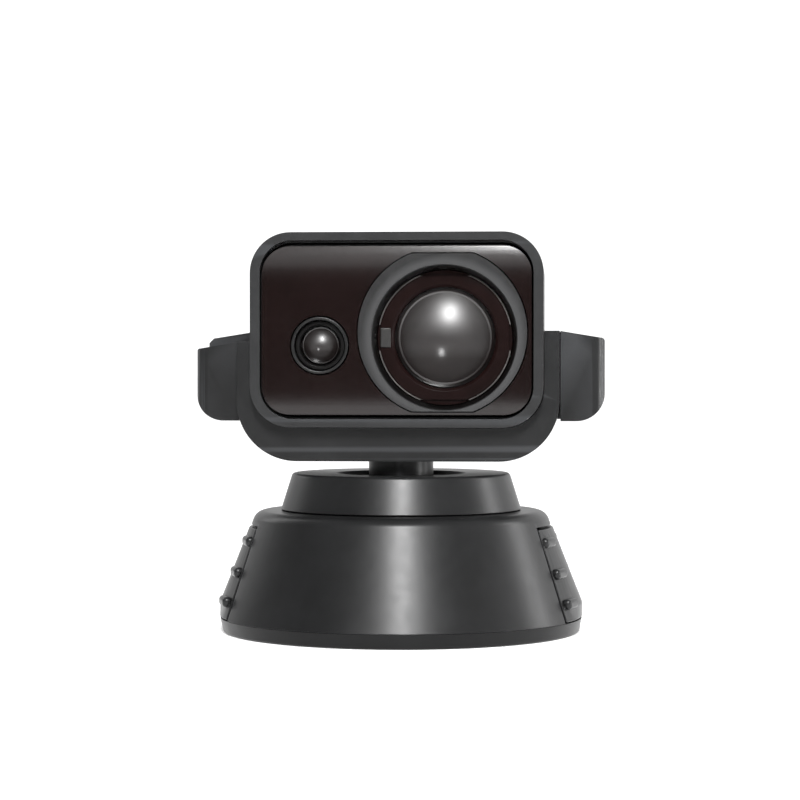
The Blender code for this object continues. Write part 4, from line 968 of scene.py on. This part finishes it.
def make_emitter(m):
    """The emitter's ring, retainer and lens."""
    low, high = low_high("emitter_barrel")
    x, _, z = axis_of("emitter_barrel")
    front, rear, radius = -low.y, -high.y, high.x - x
    points = [(radius, front), (radius, rear), (EMITTER_BORE, rear), (EMITTER_BORE, front)]
    profile = fillet(points, [0.16, 0, 0, 0.16], 5)
    barrel = turned("emitter_ring_skin", profile, (x, 0, z), FACING_FRONT, 96)
    finish_piece(barrel, "head", m["emitter_barrel"], ["emitter_barrel"], 0)
    low, high = low_high("emitter_retainer")
    front, rear, outer, inner = -low.y, -high.y, high.x - x, EMITTER_RETAINER_INNER
    points = [(outer, front), (outer, rear), (inner, rear), (inner, front - 0.25)]
    points.append((inner + 0.17, front))
    profile = fillet(points, [0.08, 0, 0, 0.05, 0.05], 4)
    retainer = turned("emitter_retainer_skin", profile, (x, 0, z), FACING_FRONT, 96)
    finish_piece(retainer, "head", m["emitter_retainer"], ["emitter_retainer"], 0)
    make_lens("emitter_lens", m["emitter_lens"], radius=2.35, sag=1.4)


def cross_screw(node, body, facing, material):
    """A pan-head screw with a rounded head and a cross recess, in its CAD screw's place."""
    low, high = low_high(node)
    away = Vector(facing)
    axis = [i for i in range(3) if abs(away[i]) > 0.5][0]
    across = [i for i in range(3) if i != axis][0]
    tip_end, head_end = (low, high) if away[axis] > 0 else (high, low)
    radius = (high[across] - low[across]) / 2
    height = 0.6 * radius
    length = abs(head_end[axis] - tip_end[axis]) - height
    shank, pitch = 0.42 * radius, 0.3
    angles = [math.pi / 2 * i / 8 for i in range(9)]
    dome = [(radius * math.sin(a), height * (0.45 + 0.55 * math.cos(a))) for a in angles]
    thread = []
    for i in range(int(length / pitch)):
        top = -0.1 - pitch * i
        thread += [(shank, top), (shank * 0.86, top - pitch / 2)]
    profile = [*dome, (radius, 0), (shank, 0), *thread, (shank * 0.6, -length + 0.02), (0, -length)]
    screw = turned(node + "_skin", profile, steps=48)
    long, narrow = 0.6 * radius, 0.13 * radius
    for number, (half_x, half_y) in enumerate(((long, narrow), (narrow, long))):
        near, far = (-half_x, -half_y, height * 0.45), (half_x, half_y, height + 1)
        combine(screw, "DIFFERENCE", block(f"cross_{number}", near, far))
    screw.rotation_euler = away.to_track_quat("Z", "Y").to_euler()
    seat = middle_of(node)
    seat[axis] = head_end[axis] - away[axis] * height
    screw.location = seat * MM
    finish_piece(screw, body, material, [node], 0)


def make_screws(m):
    """The screws seen from behind and from below, each with the way its head faces."""
    for number in ONE_TO_FOUR:
        cross_screw(f"case_screw_{number}", "head", (0, 1, 0), m["dark_screw"])
        cross_screw(f"base_screw_{number}", "base", (0, 0, -1), m["steel"])
    for _, label in SIDES:
        cross_screw(f"housing_screw_{label}", "head", (0, 1, 0), m["dark_screw"])


def finish_cad_nodes(m):
    """The CAD nodes that stay: each gets its own finish and edges rounded to its own width."""
    plan = (
        ("groove", 0.15, ["floor_plate"]),
        ("steel", 0.12, ["pan_motor", "bearing_outer_race", "bearing_inner_race"]),
        ("steel", 0.05, [f"latch_pin_{label}" for _, label in SIDES]),
        ("steel", 0.04, [f"stem_screw_{number}" for number in STEM_SCREWS]),
        ("steel", 0.0, ["bearing_ball_ring", *(f"latch_spring_{label}" for _, label in SIDES)]),
        ("brass", 0.1, ["slip_ring_rotor"]),
        ("brass", 0.06, [f"contact_pin_{number}" for number in ONE_TO_FOUR]),
        ("brass", 0.05, ["laser_diode"]),
        ("brass", 0.03, ["motor_pinion"]),
        ("nylon", 0.05, ["pan_wheel"]),
        ("black", 0.1, ["dock_connector", "slip_ring_stator", "optics_holder"]),
        ("black", 0.08, ["detector_chip"]),
        ("housing", 0.35, ["rear_housing"]),
        ("housing", 0.15, ["pan_stem"]),
        ("window", 0.05, ["bandpass_filter"]),
        ("base_board", 0.06, ["base_board"]),
        ("sensor_board", 0.05, ["sensor_board"]),
        ("processor_board", 0.05, ["processor_board"]),
        ("cable", 0.0, ["head_harness"]),
    )
    for finish, width, names in plan:
        for name in names:
            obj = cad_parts[name]
            obj.data.materials.clear()
            obj.data.materials.append(m[finish])
            soften(obj, width)


# ---------------------------------------------------------------- studio


def make_floor():
    bm = bmesh.new()
    bmesh.ops.create_grid(bm, x_segments=8, y_segments=8, size=FLOOR_HALF * MM)
    shift = Matrix.Translation((0, (FLOOR_HALF - FLOOR_REACH) * MM, 0))
    bmesh.ops.transform(bm, verts=bm.verts, matrix=shift)
    floor = new_piece("floor", mesh_of(bm, "floor"), (0, 0, -FLOOR_DROP))
    floor.data.materials.append(floor_paint())


def make_light(name, bearing, height, distance, size, power):
    """A softbox aimed at the part; bearing and height in degrees, distance and size in metres."""
    light = bpy.data.lights.new(name, "AREA")
    light.shape = "RECTANGLE"
    light.size, light.size_y = size
    light.energy = power
    lamp = bpy.data.objects.new(name, light)
    bpy.context.scene.collection.objects.link(lamp)
    b, h = math.radians(bearing), math.radians(height)
    direction = Vector((math.sin(b) * math.cos(h), -math.cos(b) * math.cos(h), math.sin(h)))
    lamp.location = direction * distance + Vector((0, 0, LIGHT_AIM_Z * MM))
    lamp.rotation_euler = direction.to_track_quat("Z", "Y").to_euler()


def make_world():
    """White to the camera; reflections see it dark in front and dimmer towards the left."""
    world = bpy.data.worlds.new("studio")
    world.use_nodes = True
    tree = world.node_tree
    where = add_node(tree, "TexCoord").outputs["Generated"]
    parts = add_node(tree, "SeparateXYZ", {"Vector": where}).outputs
    flag = map_range(tree, parts["Y"], (-0.985, -0.9), (0.02, 0.5), "SMOOTHSTEP")
    rear = map_range(tree, parts["Y"], (0.0, 0.7), (0.0, 0.55), "SMOOTHSTEP")
    side = map_range(tree, parts["X"], (-1.0, 1.0), (0.45, 1.0))
    shaded = calculated(tree, "MULTIPLY", calculated(tree, "ADD", flag, rear), side)
    to_camera = add_node(tree, "LightPath").outputs["Is Camera Ray"]
    seen = add_node(tree, "Mix", {"Factor": to_camera, "A": shaded, "B": 1.05})
    background = tree.nodes["Background"]
    set_input(tree, background.inputs["Strength"], seen.outputs["Result"])
    set_input(tree, background.inputs["Color"], (1, 1, 1))
    bpy.context.scene.world = world


def make_studio():
    """The world, a narrow key box, a wide box above the view, and small boxes at the sides."""
    make_world()
    bpy.context.scene.view_settings.view_transform = "Standard"
    bpy.context.scene.view_settings.exposure = EXPOSURE
    make_light("key_strip", 5, 36.5, 0.5, (0.07, 0.14), 2.75)
    make_light("top_box", 0, 23, 0.6, (0.6, 0.16), 0.35)
    make_light("right_box", 105, 15, 0.5, (0.08, 0.34), 0.75)
    make_light("left_box", -125, 30, 0.5, (0.1, 0.3), 0.2)
    make_light("low_box", 78, 2, 0.5, (0.05, 0.08), 0.45)


def make_camera():
    data = bpy.data.cameras.new("camera")
    data.lens = CAMERA_LENS
    data.sensor_width = CAMERA_SENSOR
    data.clip_start = 0.01
    camera = bpy.data.objects.new("camera", data)
    bpy.context.scene.collection.objects.link(camera)
    out = Vector((math.sin(CAMERA_BEARING), -math.cos(CAMERA_BEARING), 0))
    across = Vector((math.cos(CAMERA_BEARING), math.sin(CAMERA_BEARING), 0))
    place = out * CAMERA_DISTANCE + Vector((0, 0, CAMERA_HEIGHT))
    aim = across * CAMERA_AIM_SIDE + Vector((0, 0, CAMERA_AIM_Z))
    camera.location = place * MM
    camera.rotation_euler = (aim - place).to_track_quat("-Z", "Y").to_euler()
    bpy.context.scene.camera = camera


def main():
    make_camera()
    m = make_materials()
    finish_cad_nodes(m)
    make_bottom_ring(m)
    make_base_shell(m)
    for side, label in SIDES:
        make_latch(m, side, label)
    make_collar(m)
    make_bezel(m)
    make_case(m)
    make_cradle(m)
    for side, label in SIDES:
        make_pod(m, side, label)
    make_window(m)
    make_receiver(m)
    make_emitter(m)
    make_screws(m)
    make_floor()
    make_studio()


main()
